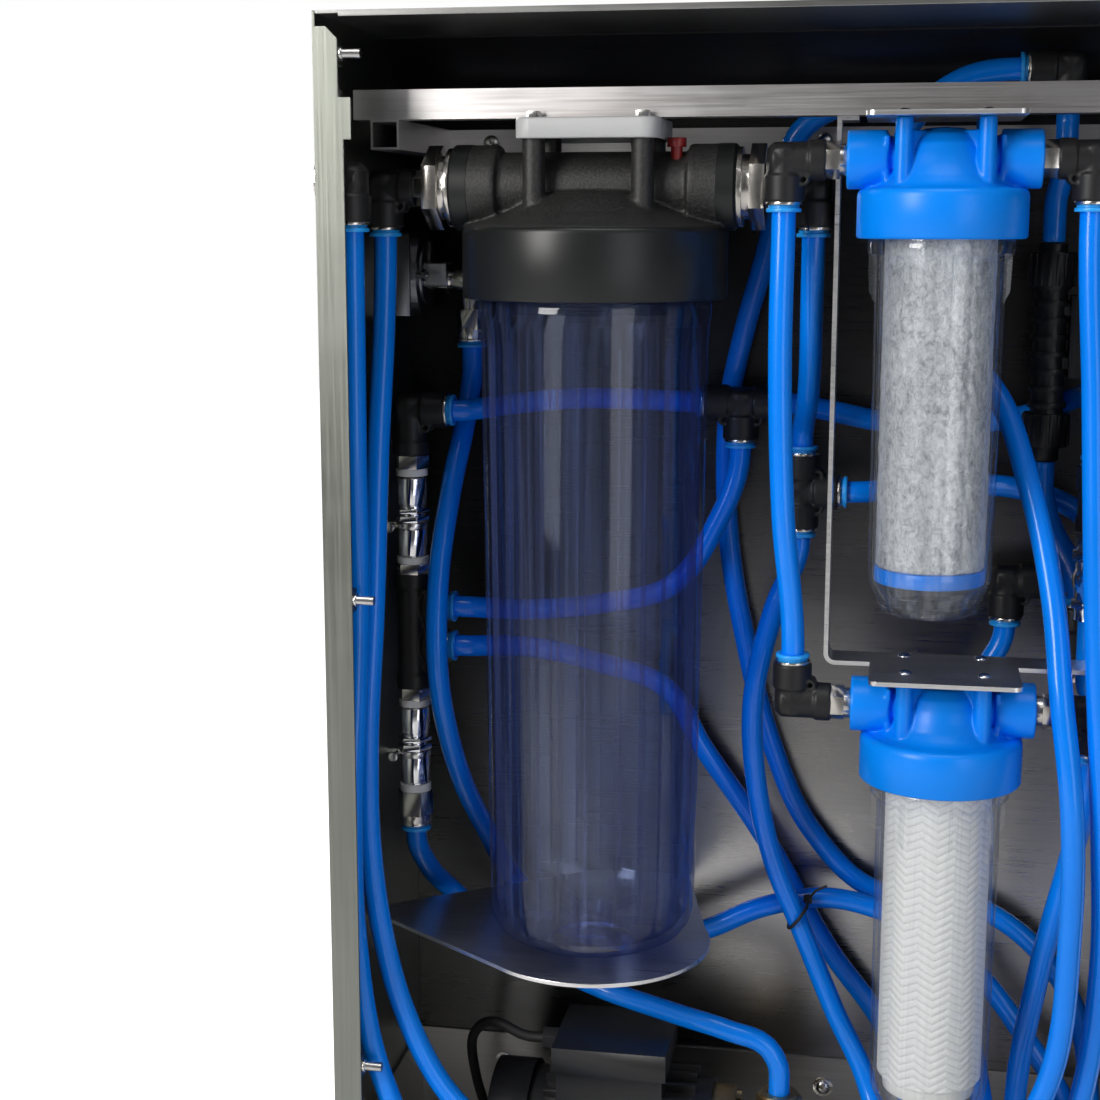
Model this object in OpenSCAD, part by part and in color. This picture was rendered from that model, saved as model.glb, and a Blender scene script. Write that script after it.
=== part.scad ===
// Wall-mounted reverse osmosis unit: a shallow stainless cabinet with its
// front cover off. X runs to the right, Y from the front into the cabinet,
// Z up. The origin is the centre of the four wall bolts, on the rear face of
// the back panel (Y = 0); the open front lies at Y = -cab_d.

/* [Cabinet] */
// Outside width of the cabinet
cab_w = 760; // [760:10:800]
// Outside depth of the cabinet
cab_d = 240; // [240:5:260]
// Outside height of the cabinet
cab_h = 960; // [960:10:1000]
// Sheet thickness of the panels
sheet = 2; // [1.5:0.5:2]
// Wall bolt spacing across
bolt_x = 680; // [640:10:690]
// Wall bolt spacing up
bolt_z = 860; // [850:5:870]
// Radius of the wall bolt holes
bolt_r = 4.5; // [4:0.5:5]

/* [Filters] */
// Outside diameter of the large filter cap ring
big_cap_d = 184; // [184:1:186]
// Outside diameter of the slim filter cap rings
slim_cap_d = 110; // [110:1:112]
// Outside diameter of the slim cartridges
cartridge_d = 72; // [60:1:73]

/* [Tubing] */
// Outside radius of the tube
tube_r = 8; // [7.9:0.05:8]
// Inside radius of the tube
tube_ri = 5.5; // [5:0.1:6]

/* [Membranes] */
// Outside diameter of a membrane vessel
vessel_d = 94; // [90:1:96]

/* [Hidden] */
$fn = 48;

RIGHT = [1,0,0];
LEFT = [-1,0,0];
FRONT = [0,-1,0];
UP = [0,0,1];
DOWN = [0,0,-1];

half_w = cab_w/2;
half_h = cab_h/2;
big_cap_r = big_cap_d/2;
slim_cap_r = slim_cap_d/2;
cartridge_r = cartridge_d/2;
vessel_r = vessel_d/2;

// Filters: axis of the large one, underside of the cap ring of the slim ones
large_axis = [-208,-148,0];
upper_base = [26,-183,334];
lower_base = [38,-170,-34];
large_port_z = 368.5;   // port height, absolute
slim_port_z = 51;       // port height above the base
large_bolt_x = 37;      // half spacings of the head bolts
large_bolt_y = 32;
slim_bolt = 26;
hang_z = 414;           // underside of the front rail, from which the filters hang

// Other groups of parts
column = [-356,-91,0];          // axis of the left column of check valves
gauge_place = [-half_w,-49,306];
gauge_tee = [-318,gauge_place.y,gauge_place.z-4];
mixer_axis = [107,-60,0];
regulator_axis = [139,-112,0];
motor_axis = [0,-112,-356];
vessel_x = [222,324];
vessel_y = -112;

// Screws, pins and ports shared between parts
screw_hole_r = 2.6;
rail_screw_x = [-308,-57,150,300];
rail_screw_z = 404;
tray_screw_x = [-305,-40,220];
tray_screw_z = -349;
shelf_screw_x = [-215,-165];
shelf_screw_y = -121;           // on the left wall
shelf_screw_z = -190;
pin_y = -cab_d+5.5;
pin_places = [[17,453], [20,90], [20,-250]];   // flange width there, height
floor_port_x = [60,120];
floor_port_y = -110;
motor_foot_x = [-225,-165];     // foot bolts, measured from the motor axis across
motor_foot_y = 42;
manifold_port_x = [20,52,84,116,148];
manifold_port_y = -164;

// Push-in fittings
push_l = 27;       // centre to mouth of a push-in arm
body_r = 11.8;
ball_r = 12.1;
rim_r = 13.2;      // thickened end of a threaded arm
bore_r = 5.4;
socket_r = 8.15;   // takes a tube or a threaded stem
seat_r = 10.25;    // takes a collar
stem_r = 8.05;

// Elbow centres
feed_elbow = [-361,-221,372];
large_left = large_axis + [-150,0,large_port_z];
large_right = large_axis + [150,0,large_port_z];
upper_left = upper_base + [-102.5,0,slim_port_z];
upper_right = upper_base + [94.5,0,slim_port_z];
lower_left = lower_base + [-102.5,0,slim_port_z];
lower_right = lower_base + [102.5,0,slim_port_z];
column_elbow = column + [0,0,207];
link_elbow = [86,-38,82];
mixer_top_elbow = [112,-68,450];
mixer_foot_elbow = [136,-60,42];
regulator_elbow = regulator_axis + [0,0,152];

// centre, push-in direction, second direction, threaded arm length (0: the second
// arm is push-in too), nipple hexagon length (0: no nipple), nipple port length
elbows = [
  [feed_elbow,       DOWN,  LEFT,  12, 0,   0],
  [large_left,       DOWN,  RIGHT, 23, 9.5, 9],
  [large_right,      DOWN,  LEFT,  23, 9.5, 9],
  [upper_left,       DOWN,  RIGHT, 27, 9,   14],
  [lower_left,       UP,    RIGHT, 27, 9,   14],
  [upper_right,      DOWN,  LEFT,  23, 9,   10],
  [lower_right,      DOWN,  LEFT,  27, 9,   14],
  [column_elbow,     RIGHT, DOWN,  34, 0,   0],
  [link_elbow,       DOWN,  RIGHT, 0,  0,   0],
  [mixer_top_elbow,  LEFT,  DOWN,  23, 0,   0],
  [mixer_foot_elbow, UP,    DOWN,  20, 0,   0],
  [regulator_elbow,  UP,    DOWN,  20, 0,   0]
];
header_tee = [-113,-46,212];
link_tee = [-66,-70,150];
// centre, push-in directions
tees = [
  [header_tee, [LEFT, RIGHT, DOWN]],
  [link_tee, [UP, RIGHT, DOWN]]
];
// outlets of the two-outlet block in the left column
outlets = [column + [0,0,58], column + [0,0,27.5]];

// every push-in mouth: place, direction
mouths = concat(
  [for (e=elbows) [e[0]+e[1]*push_l, e[1]]],
  [for (e=elbows) if (e[3]==0) [e[0]+e[2]*push_l, e[2]]],
  [for (t=tees) for (dir=t[1]) [t[0]+dir*push_l, dir]],
  [for (outlet=outlets) [outlet+RIGHT*push_l, RIGHT]],
  [[column + [0,0,-113], DOWN], [gauge_tee + [0,0,-44], DOWN]]
);

// ---------------------------------------------------------------- helpers
function unit(v) = v/norm(v);

// turns +Z to point along v
module facing(v) {
  rotate([0, acos(v[2]/norm(v)), atan2(v[1],v[0])]) children();
}

// upright cylinder and hexagonal bar starting at z
module post(z,h,r) {
  translate([0,0,z]) cylinder(h=h, r=r);
}
module hex(z,h,r) post(z,h,r,$fn=6);

// cylinder and hexagonal bar running right from x
module rod_x(x,h,r) {
  translate([x,0,0]) rotate([0,90,0]) cylinder(h=h, r=r);
}
module hex_x(x,h,r) rod_x(x,h,r,$fn=6);

module ring(outer_r,inner_r,h) difference() {
  cylinder(h=h, r=outer_r);
  post(-1,h+2,inner_r);
}

module at_corners(x,y) {
  for (i=[-1,1]) for (j=[-1,1]) translate([i*x,j*y]) children();
}

// copies at each of xs, with +Z turned to the front
module front_row(xs,y,z) {
  for (x=xs) translate([x,y,z]) rotate([90,0,0]) children();
}

// centred plate with rounded corners
module rounded_plate(x,y,z,r) linear_extrude(z) {
  square([x-2*r, y], center=true);
  square([x, y-2*r], center=true);
  at_corners(x/2-r, y/2-r) circle(r=r, $fn=32);
}

// ---------------------------------------------------------------- cabinet
module back_panel() color([0.62,0.61,0.58]) difference() {
  translate([-half_w+sheet, -sheet, -half_h+sheet])
    cube([cab_w-2*sheet, sheet, cab_h-2*sheet]);
  for (k=[-1,1])
    front_row([-bolt_x/2,bolt_x/2], 1, k*bolt_z/2) cylinder(h=sheet+2, r=bolt_r);
  front_row(rail_screw_x, 1, rail_screw_z) cylinder(h=sheet+2, r=screw_hole_r);
  front_row(tray_screw_x, 1, tray_screw_z) cylinder(h=sheet+2, r=screw_hole_r);
  front_row(shelf_screw_x, 1, shelf_screw_z) cylinder(h=sheet+2, r=screw_hole_r);
}

// front flange (x, z): wide below, stepped at the rail, narrow with a chamfer at the top
flange_outline = [[0,-half_h], [20,-half_h], [20,half_h-82], [25,half_h-82],
  [25,half_h-55], [17,half_h-55], [17,half_h-18], [9,half_h-10], [0,half_h-10]];

module left_sheet() translate([-half_w,0,0]) {
  translate([0,-cab_d,-half_h]) cube([sheet, cab_d, cab_h]);
  translate([0,-cab_d+sheet,0]) rotate([90,0,0]) linear_extrude(sheet) polygon(flange_outline);
  // tabs folded back from the flange, one for each cover pin
  for (pin=pin_places)
    translate([pin[0]-sheet, -cab_d, pin[1]-8]) cube([sheet, 11, 16]);
}
module pin_holes() {
  for (pin=pin_places) translate([0,pin_y,pin[1]]) rod_x(-half_w+12,10,2.05);
}
// cuts a round hole through the left wall
module left_wall_hole(y,z,r) {
  translate([0,y,z]) rod_x(-half_w-1, sheet+2, r);
}

module left_side_panel() color([0.66,0.67,0.63]) difference() {
  left_sheet();
  left_wall_hole(gauge_place.y, gauge_place.z, 31.6, $fn=64);
  left_wall_hole(feed_elbow.y, feed_elbow.z, 12.6);
  pin_holes();
  left_wall_hole(shelf_screw_y, shelf_screw_z, screw_hole_r);
}

module right_side_panel() color([0.66,0.67,0.63]) mirror([1,0,0]) difference() {
  left_sheet();
  pin_holes();
}

module roof_panel() color([0.75,0.75,0.73]) {
  translate([-half_w+sheet,-cab_d,half_h-sheet]) cube([cab_w-2*sheet, cab_d, sheet]);
  translate([-half_w+17.5,-cab_d,half_h-4]) cube([cab_w-35, sheet, 3]);
}

// section (y, z) of the sheet sloping down from the roof to the back panel
baffle_outline = [[-78,half_h-sheet], [-74,half_h-sheet], [-18,442.2], [-sheet,442.2],
  [-sheet,440.7], [-19.2,440.7], [-78,477]];

module roof_baffle() color([0.12,0.12,0.12])
  translate([-half_w+sheet,0,0]) rotate([90,0,90])
    linear_extrude(cab_w-2*sheet) polygon(baffle_outline);

tray_wall_h = 155;
tray_lip_h = 30;
tray_side_front = 14;   // gap between the open front and the side upstands

module floor_tray() color([0.6,0.6,0.58]) difference() {
  union() {
    translate([-half_w+sheet,-cab_d+sheet,-half_h]) cube([cab_w-2*sheet, cab_d-sheet, sheet]);
    translate([-half_w+sheet,-2*sheet,-half_h+1]) cube([cab_w-2*sheet, sheet, tray_wall_h]);
    for (x=[-half_w+sheet, half_w-2*sheet])
      translate([x, -cab_d+tray_side_front, -half_h+1])
        cube([sheet, cab_d-tray_side_front-sheet-1, tray_wall_h]);
    translate([-half_w+21,-cab_d,-half_h]) cube([cab_w-42, sheet+0.1, tray_lip_h]);
  }
  for (x=floor_port_x)
    translate([x,floor_port_y,-half_h-1]) cylinder(h=sheet+2, r=13.2);
  front_row(tray_screw_x, 0, tray_screw_z) cylinder(h=6, r=screw_hole_r);
  front_row([-bolt_x/2,bolt_x/2], 1, -bolt_z/2) cylinder(h=8, r=8);
  for (x=motor_foot_x) for (s=[-1,1])
    translate([x,motor_axis.y+s*motor_foot_y,-half_h-1]) cylinder(h=sheet+2, r=3.2);
}

module cover_pins() color([0.8,0.8,0.78])
  for (s=[0,1]) mirror([s,0,0]) for (pin=pin_places)
    translate([-half_w+pin[0]-sheet,pin_y,pin[1]]) rotate([0,90,0]) {
      cylinder(h=sheet+0.5, r=2);
      post(sheet,2,4.6);
      post(sheet+1.9,12,3.25);
    }

// ---------------------------------------------------------------- frame and shelf
rail = 20;        // outside size of the square tube
rail_wall = 1.5;
front_rail_y = -175;
side_rail_x = 350;

module rail_section() difference() {
  square([rail,rail]);
  translate([rail_wall,rail_wall]) square([rail-2*rail_wall,rail-2*rail_wall]);
}
module rail_along_x(l) {
  rotate([90,0,90]) linear_extrude(l) rail_section();
}
module rail_along_y(l) {
  rotate([90,0,0]) mirror([0,0,1]) linear_extrude(l) rail_section();
}

// square-tube frame that carries the filters
module support_frame() color([0.72,0.70,0.67]) difference() {
  union() {
    translate([-half_w+8,front_rail_y,hang_z]) rail_along_x(cab_w-16);
    for (s=[-1,1])
      translate([s*side_rail_x-rail/2,front_rail_y,hang_z-rail])
        rail_along_y(-front_rail_y-sheet);
    translate([-340.2,-22,hang_z-rail]) rail_along_x(680.4);
    for (s=[-1,1]) translate([s*side_rail_x,-172,414.3]) rod_x(-9,18,1.6,$fn=24);
  }
  for (x=rail_screw_x)
    translate([x,-23,rail_screw_z]) rotate([-90,0,0]) cylinder(h=30, r=screw_hole_r);
}

// screw with a domed head of radius r and height h, shank l long below it
module domed_screw(r,h,l) {
  cylinder(h=0.01+h*0.35, r=r);
  translate([0,0,h*0.35]) intersection() {
    translate([0,0,-r*1.2]) sphere(r=r*1.62, $fn=32);
    cylinder(h=h, r=r-0.05);
  }
  post(-l,l+0.01,2.45);
}

// screws into the back panel and the left wall
module panel_screws() {
  front_row(rail_screw_x, -22, rail_screw_z) domed_screw(6,3.4,22);
  front_row(tray_screw_x, -2*sheet, tray_screw_z) {
    ring(8,2.5,1.2);
    translate([0,0,1.2]) domed_screw(5.4,3,5.2);
  }
  front_row(shelf_screw_x, -5, shelf_screw_z) domed_screw(5.2,3,5);
  translate([-half_w+5,shelf_screw_y,shelf_screw_z]) rotate([0,90,0]) domed_screw(4.8,3,5);
}

// arms of the shelf (x, y), running to tabs on the left wall and the back panel
shelf_arms = [[-half_w+sheet,-130], [-259.3,-217.9], [-208,-200], [-123.8,-132],
  [-152,-2], [-227,-2], [-half_w+sheet,-112]];

module shelf_outline() {
  translate([large_axis.x,large_axis.y]) circle(r=87, $fn=128);
  polygon(shelf_arms);
}

// shelf under the large sump, round in front
module filter_shelf() color([0.72,0.71,0.68]) difference() {
  union() {
    translate([0,0,-179]) linear_extrude(3) intersection() {
      shelf_outline();
      translate([-half_w+sheet,-300]) square([600,298]);
    }
    translate([-227,-5,-203]) cube([75,3,25]);
    translate([-half_w+sheet,-131,-203]) cube([3,20,25]);
  }
  translate(large_axis) post(-180,5,31);
  front_row(shelf_screw_x, 0, shelf_screw_z) cylinder(h=6, r=screw_hole_r);
  translate([0,shelf_screw_y,shelf_screw_z]) rod_x(-half_w,8,screw_hole_r);
}

// ---------------------------------------------------------------- brackets
plate_t = 3;
landing_z = 43;        // underside of the stirrup's landing
slim_bolt_hole_r = 2.8;

module large_filter_bracket() color([0.42,0.44,0.46]) translate(large_axis) difference() {
  translate([0,0,hang_z-14]) rounded_plate(98.6,86,14,12);
  translate([0,0,399]) rounded_plate(93.6,81,12,9.5);
  at_corners(large_bolt_x,large_bolt_y) post(405,12,3.3);
}

module upper_filter_plate() color([0.72,0.71,0.69]) difference() {
  translate([upper_base.x,upper_base.y,hang_z-plate_t]) rounded_plate(100,96,plate_t,6);
  translate([upper_base.x,upper_base.y,410])
    at_corners(slim_bolt,slim_bolt) cylinder(h=6, r=slim_bolt_hole_r);
}

// side view (x, z) of one strip bent into a stirrup, with lips at the top
module stirrup_outline() {
  left = -43.5;
  right = 170;
  bend = 8;
  lip = 14;
  for (x=[left, right-plate_t])
    translate([x,landing_z+bend]) square([plate_t, hang_z-landing_z-bend]);
  translate([left+bend,landing_z]) square([right-left-2*bend, plate_t]);
  // bend centre, left edge of the quarter kept
  for (corner=[[left+bend,left-1], [right-bend,right-bend]]) intersection() {
    translate([corner[0],landing_z+bend]) difference() {
      circle(r=bend);
      circle(r=bend-plate_t);
    }
    translate([corner[1],landing_z-1]) square([bend+1,bend+1]);
  }
  for (x=[left, right-lip]) translate([x,hang_z-plate_t]) square([lip,plate_t]);
}

module lower_filter_hanger() color([0.70,0.69,0.67]) difference() {
  union() {
    translate([0,-136,0]) rotate([90,0,0]) linear_extrude(32) stirrup_outline();
    translate([lower_base.x,-183,landing_z]) rounded_plate(100,84,plate_t,6);
  }
  translate([lower_base.x,lower_base.y,42])
    at_corners(slim_bolt,slim_bolt) cylinder(h=6, r=slim_bolt_hole_r);
}

module round_head() intersection() {
  translate([0,0,-3.6]) sphere(r=6, $fn=32);
  cylinder(h=3, r=4.6);
}

// bolts that hold the three filter heads to their brackets
module bracket_bolts() {
  translate([large_axis.x,large_axis.y,hang_z]) at_corners(large_bolt_x,large_bolt_y) {
    hex(0,4.2,4.9);
    post(-15,15.1,3.1);
  }
  // the rear pair lies under the rail and has no heads
  for (i=[-1,1]) for (j=[-1,1])
    translate([upper_base.x+i*slim_bolt,upper_base.y+j*slim_bolt,hang_z]) {
      if (j<0) round_head();
      post(-14, j<0 ? 14.1 : 13.9, 2.6);
    }
  translate([lower_base.x,lower_base.y,landing_z+plate_t]) at_corners(slim_bolt,slim_bolt) {
    round_head();
    post(-14,14.1,2.6);
  }
}

module screws_and_bolts() color([0.78,0.78,0.78]) {
  panel_screws();
  bracket_bolts();
}

// ---------------------------------------------------------------- large filter
// turned outlines: radius, height
large_cap_outline = [[0,293], [big_cap_r-3,293], [big_cap_r-1,294], [big_cap_r,296],
  [big_cap_r,338], [big_cap_r-1,341], [big_cap_r-3,342.5], [78,345], [60,352], [46,360],
  [36,365], [0,367]];
large_sump_outline = [[0,-172], [30,-172], [60,-168], [70,-160], [74.5,-148], [79.5,272],
  [81.5,283], [81.5,292.6], [76,292.6], [76,327], [69,327], [69,283], [70.5,279],
  [70.5,-146], [66,-155], [56,-162], [0,-164]];
large_port_x = 97.5;       // port faces, either side of the axis
button_place = large_axis + [57.5,-12,0];

module large_filter_cap() color([0.05,0.05,0.06]) difference() {
  translate(large_axis) {
    rotate_extrude($fn=96) polygon(large_cap_outline);
    translate([0,0,large_port_z]) {
      for (s=[-1,1])
        translate([s*large_port_x,0,0]) rotate([0,-s*90,0]) cylinder(h=32, r=29);
      rod_x(-80,160,24);
    }
    at_corners(large_bolt_x,large_bolt_y) post(346,65,7.75,$fn=32);
    for (i=[-1,1])
      translate([i*large_bolt_x-3,-large_bolt_y,352]) cube([6,2*large_bolt_y,30]);
    // grip ribs round the ring
    for (a=[0:15:359])
      rotate([0,0,a]) translate([big_cap_r-1,-3,296]) cube([1.8,6,42]);
  }
  translate(large_axis) {
    post(292,41,76.08,$fn=96);
    post(332,8,66);
    post(330,38,12);
    translate([0,0,large_port_z]) {
      rod_x(-98.5,26,16.6);
      rod_x(72.5,26,16.6);
      rod_x(0,80,11);
      rod_x(-80,44,11);
    }
    translate([-44,0,0]) post(330,38,7);
    at_corners(large_bolt_x,large_bolt_y) post(397,16,3.3);
  }
  translate(button_place) post(340,60,4.06);
}

module relief_button() color([0.75,0.05,0.05]) translate(button_place) {
  post(352,43,4);
  post(395,6,6.5);
}

module large_filter_sump() color([0.55,0.6,0.75,0.4]) translate(large_axis) {
  rotate_extrude($fn=96) polygon(large_sump_outline);
  // ribs inside the wall
  for (a=[15:30:359]) rotate([0,0,a]) translate([67.5,-1.2,-140]) cube([5.6,2.4,400]);
  difference() {
    post(-181,10,22);
    post(-182,8,17);
  }
  for (a=[0,60,120]) translate([0,0,-175.5]) rotate([0,0,a]) cube([39,2.5,9], center=true);
}

module large_filter_oring() color([0.1,0.1,0.1]) translate(large_axis + [0,0,329.55])
  rotate_extrude($fn=96) translate([72.5,0]) circle(r=2.5, $fn=24);

// stepped bushings in the two ports of the large cap
module reducer_bushings() {
  for (s=[-1,1])
    translate(large_axis + [s*large_port_x,0,large_port_z]) rotate([0,s*90,0]) difference() {
      union() {
        post(-18,18.2,16.5);
        post(0,4.5,27);
        post(4.4,5.4,22);
        hex(9.7,10.3,29);
      }
      post(-19,45,10.5);
    }
}

// ---------------------------------------------------------------- slim filters
// turned outlines: radius, height above the base
slim_cap_outline = [[0,0], [slim_cap_r-2,0], [slim_cap_r-0.5,1], [slim_cap_r,3],
  [slim_cap_r,28], [slim_cap_r-1,31.5], [slim_cap_r-3.5,32.5], [47,33], [40,35], [34,42],
  [31,54], [26,64], [17,70], [0,71.5]];
slim_sump_outline = [[0,-249], [27,-249], [31.5,-246], [33.5,-240], [39.5,-228],
  [41,-222], [42.5,-12], [47.5,-9], [47.5,-0.4], [44,-0.4], [44,23.9], [38.5,23.9],
  [38.5,-8], [37.9,-221], [37.2,-228], [31,-239], [27,-243], [0,-243]];
cartridge_z = -227;   // underside of the cartridge's lower end cap
cartridge_l = 230;
end_cap_h = 10;

module slim_cap(base) translate(base) difference() {
  union() {
    rotate_extrude($fn=96) polygon(slim_cap_outline);
    translate([0,0,slim_port_z]) {
      for (s=[-1,1]) translate([s*61.5,0,0]) rotate([0,-s*90,0]) cylinder(h=26, r=19);
      rod_x(-50,100,15);
    }
    at_corners(slim_bolt,slim_bolt) post(34,43,5.6,$fn=32);
    for (i=[-1,1]) translate([i*slim_bolt-1.8,-slim_bolt,34]) cube([3.6,2*slim_bolt,30]);
    // diagonal ribs from the bolt bosses towards the axis
    for (i=[-1,1]) for (j=[-1,1])
      translate([i*slim_bolt,j*slim_bolt,0]) rotate([0,0,i*j>0 ? 45 : -45])
        translate([i>0 ? -20 : 0,-1.5,33]) cube([20,3,34]);
    for (s=[-1,1]) translate([s*36-1.5,-17,33]) cube([3,34,26]);
  }
  post(-1,29,44.08,$fn=96);
  post(27,7,38);
  post(33,18,7);
  translate([0,0,slim_port_z]) {
    for (s=[-1,1]) translate([s*62.5,0,0]) rotate([0,-s*90,0]) cylinder(h=17, r=10.5);
    rod_x(-50,50,6);
    rod_x(14,36,6);
  }
  translate([24,0,0]) post(30,22,5);
  at_corners(slim_bolt,slim_bolt) post(65,14,slim_bolt_hole_r);
}

module slim_sump(base) translate(base) {
  rotate_extrude($fn=96) polygon(slim_sump_outline);
  for (a=[0:45:359]) rotate([0,0,a+10]) translate([41.4,-1,-40]) cube([4.4,2,31]);
  for (a=[0:60:359]) rotate([0,0,a]) translate([12,-1,-244]) cube([12,2,8]);
}

module slim_oring(base) translate(base + [0,0,25.93])
  rotate_extrude($fn=64) translate([41,0]) circle(r=2, $fn=24);

module slim_cartridge(base) translate(base + [0,0,cartridge_z+end_cap_h]) difference() {
  cylinder(h=cartridge_l, r=cartridge_r);
  post(-1,cartridge_l+2,15);
}

module slim_end_caps(base,r) {
  for (z=[0, end_cap_h+cartridge_l]) translate(base + [0,0,cartridge_z+z]) difference() {
    cylinder(h=end_cap_h, r=r);
    post(-1,end_cap_h+2,12);
  }
}

module upper_filter_cap() color([0.0,0.5,0.93]) slim_cap(upper_base);
module lower_filter_cap() color([0.0,0.5,0.93]) slim_cap(lower_base);
module upper_filter_sump() color([0.85,0.88,0.9,0.35]) slim_sump(upper_base);
module lower_filter_sump() color([0.85,0.88,0.9,0.35]) slim_sump(lower_base);
module upper_filter_oring() color([0.1,0.1,0.1]) slim_oring(upper_base);
module lower_filter_oring() color([0.1,0.1,0.1]) slim_oring(lower_base);
module carbon_cartridge() color([0.7,0.71,0.72]) slim_cartridge(upper_base);
module wound_cartridge() color([0.92,0.92,0.9]) slim_cartridge(lower_base);
module upper_end_caps() color([0.0,0.45,0.9]) slim_end_caps(upper_base, cartridge_r+0.6);
module lower_end_caps() color([0.9,0.9,0.9]) slim_end_caps(lower_base, cartridge_r-4);

// ---------------------------------------------------------------- fittings
module push_arm() {
  cylinder(h=push_l-17, r=body_r);
  post(push_l-18,18,13.5);
}
module push_bore() {
  post(push_l-20,21,socket_r);
  post(push_l-9,10,seat_r);
  cylinder(h=push_l-19, r=bore_r);
}
module thread_arm(l) {
  cylinder(h=l, r=body_r);
  post(l-11,11,rim_r);
}
module thread_bore(l) {
  post(l-9,10,socket_r);
  cylinder(h=l-8, r=bore_r);
}

module elbow(e) translate(e[0]) difference() {
  union() {
    sphere(r=ball_r, $fn=32);
    facing(e[1]) push_arm();
    facing(e[2]) if (e[3]==0) push_arm(); else thread_arm(e[3]);
  }
  facing(e[1]) push_bore();
  facing(e[2]) if (e[3]==0) push_bore(); else thread_bore(e[3]);
  sphere(r=5.6, $fn=24);
}

// two-outlet block in the left column
module outlet_block() difference() {
  union() {
    translate(column) {
      post(-6,89,body_r);
      post(72,11,rim_r);
      post(-6,11,rim_r);
    }
    for (outlet=outlets) translate(outlet) facing(RIGHT) push_arm();
  }
  translate(column) {
    post(-7,91,bore_r);
    for (z=[74,-7]) post(z,10,socket_r);
  }
  for (outlet=outlets) translate(outlet) facing(RIGHT) push_bore();
}

module elbow_fittings() color([0.05,0.05,0.05]) {
  for (e=elbows) elbow(e);
  outlet_block();
}

module tee_fittings() color([0.05,0.05,0.05])
  for (t=tees) translate(t[0]) difference() {
    union() {
      sphere(r=ball_r, $fn=32);
      for (dir=t[1]) facing(dir) push_arm();
      translate([0,9,-14]) rotate([90,0,0]) cylinder(h=18, r=4.4, $fn=24);
    }
    for (dir=t[1]) facing(dir) push_bore();
    sphere(r=5.6, $fn=24);
  }

// stem, hexagon and port thread between an elbow's threaded arm and a filter port
module nipple(arm_l,hex_l,port_l) difference() {
  union() {
    post(arm_l-8.5,9,stem_r);
    hex(arm_l,hex_l,12.4);
    post(arm_l+hex_l-0.1,port_l,10.4);
  }
  post(arm_l-9,port_l+hex_l+20,5);
}

// feed port through the left wall, with a thin flange outside
module feed_port() translate(feed_elbow) facing(LEFT) difference() {
  union() {
    post(3.6,9,7.85);
    post(12.1,2,8.9);
    post(13.8,6,12.2);
    post(19.1,2,16);
  }
  post(3,20,bore_r);
  post(14.9,9,9.5);
}

// product and drain bulkheads in the floor
module floor_ports() {
  for (x=floor_port_x) translate([x,floor_port_y,-half_h]) difference() {
    union() {
      hex(-3.5,3.5,18);
      post(-3.4,36,13);
      hex(sheet,6,18);
    }
    post(-4,16,9.5);
    post(10,10,bore_r);
    post(13,21,socket_r);
  }
}

module column_nipples() translate(column) {
  // underside and length of each hexagon
  for (joint=[[163.1,9.8], [83,7.6], [-15,9]]) difference() {
    union() {
      hex(joint[0],joint[1],13.4);
      post(joint[0]-9,27,stem_r);
    }
    post(joint[0]-10,29,5);
  }
  // push-in end at the foot
  difference() {
    union() {
      hex(-107,19,13.8);
      post(-113,6.1,12.4);
      post(-88.1,9,stem_r);
    }
    post(-114,20,socket_r);
    post(-114,9,seat_r);
    post(-95,17,5);
  }
}

// stem and tee behind the gauge
module gauge_stem() translate(gauge_tee) difference() {
  union() {
    rod_x(-30,28,7.6);
    hex_x(-24,7,11.5);
    rod_x(-12,24,9.6);
    rod_x(9,5,11.4);
    sphere(r=9.9, $fn=32);
    facing(DOWN) {
      cylinder(h=24, r=8.4);
      hex(22,15,12.6);
      post(36,8,11.6);
    }
  }
  post(-44.5,19,socket_r);
  post(-44.5,9.4,seat_r);
  post(-30,30,4);
  facing(LEFT) cylinder(h=40, r=4);
}

// upright nipples on the regulator and at both ends of the mixer
module regulator_nipple() translate(regulator_axis) difference() {
  union() {
    hex(122.4,9.6,12.4);
    post(131,8.5,stem_r);
  }
  post(121,20,5);
}
module mixer_top_nipple() translate([mixer_top_elbow.x,mixer_top_elbow.y,0]) difference() {
  union() {
    hex(421.5,5.4,11.6);
    post(426,9,stem_r);
    post(401,21,5.2);
  }
  post(400,36,3.4);
}
module mixer_foot_nipple() translate([mixer_foot_elbow.x,mixer_foot_elbow.y,0]) difference() {
  union() {
    post(22,8.5,stem_r);
    hex(14,8,12.4);
  }
  post(13,20,5);
}

// thin ring on every push-in mouth
module mouth_rings() {
  for (mouth=mouths) translate(mouth[0]) facing(mouth[1]) translate([0,0,0.02]) difference() {
    cylinder(h=1.8, r=12.2);
    post(-1,4,10.3);
  }
}

module nickel_fittings() color([0.72,0.70,0.66]) {
  mouth_rings();
  for (e=elbows) if (e[4]>0) translate(e[0]) facing(e[2]) nipple(e[3],e[4],e[5]);
  feed_port();
  floor_ports();
  column_nipples();
  gauge_stem();
  regulator_nipple();
  mixer_top_nipple();
  mixer_foot_nipple();
  reducer_bushings();
}

// release collars of the mouths that face dir
module collars(dir) color([0.0,0.55,0.95])
  for (mouth=mouths) if (mouth[1]==dir) translate(mouth[0]) facing(dir) difference() {
    union() {
      post(-6.5,11,10.2);
      post(4,2.6,11.6);
    }
    post(-8,16,8.22);
  }
module collars_down() collars(DOWN);
module collars_up() collars(UP);
module collars_right() collars(RIGHT);
module collars_left() collars(LEFT);

// ---------------------------------------------------------------- tubes
tube_sides = 12;
curve_steps = 2;          // steps between neighbouring stations
tube_start = push_l - 19; // how far past the fitting centre a tube starts
tube_lead = push_l + 9;   // end of the straight run out of the mouth

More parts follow.
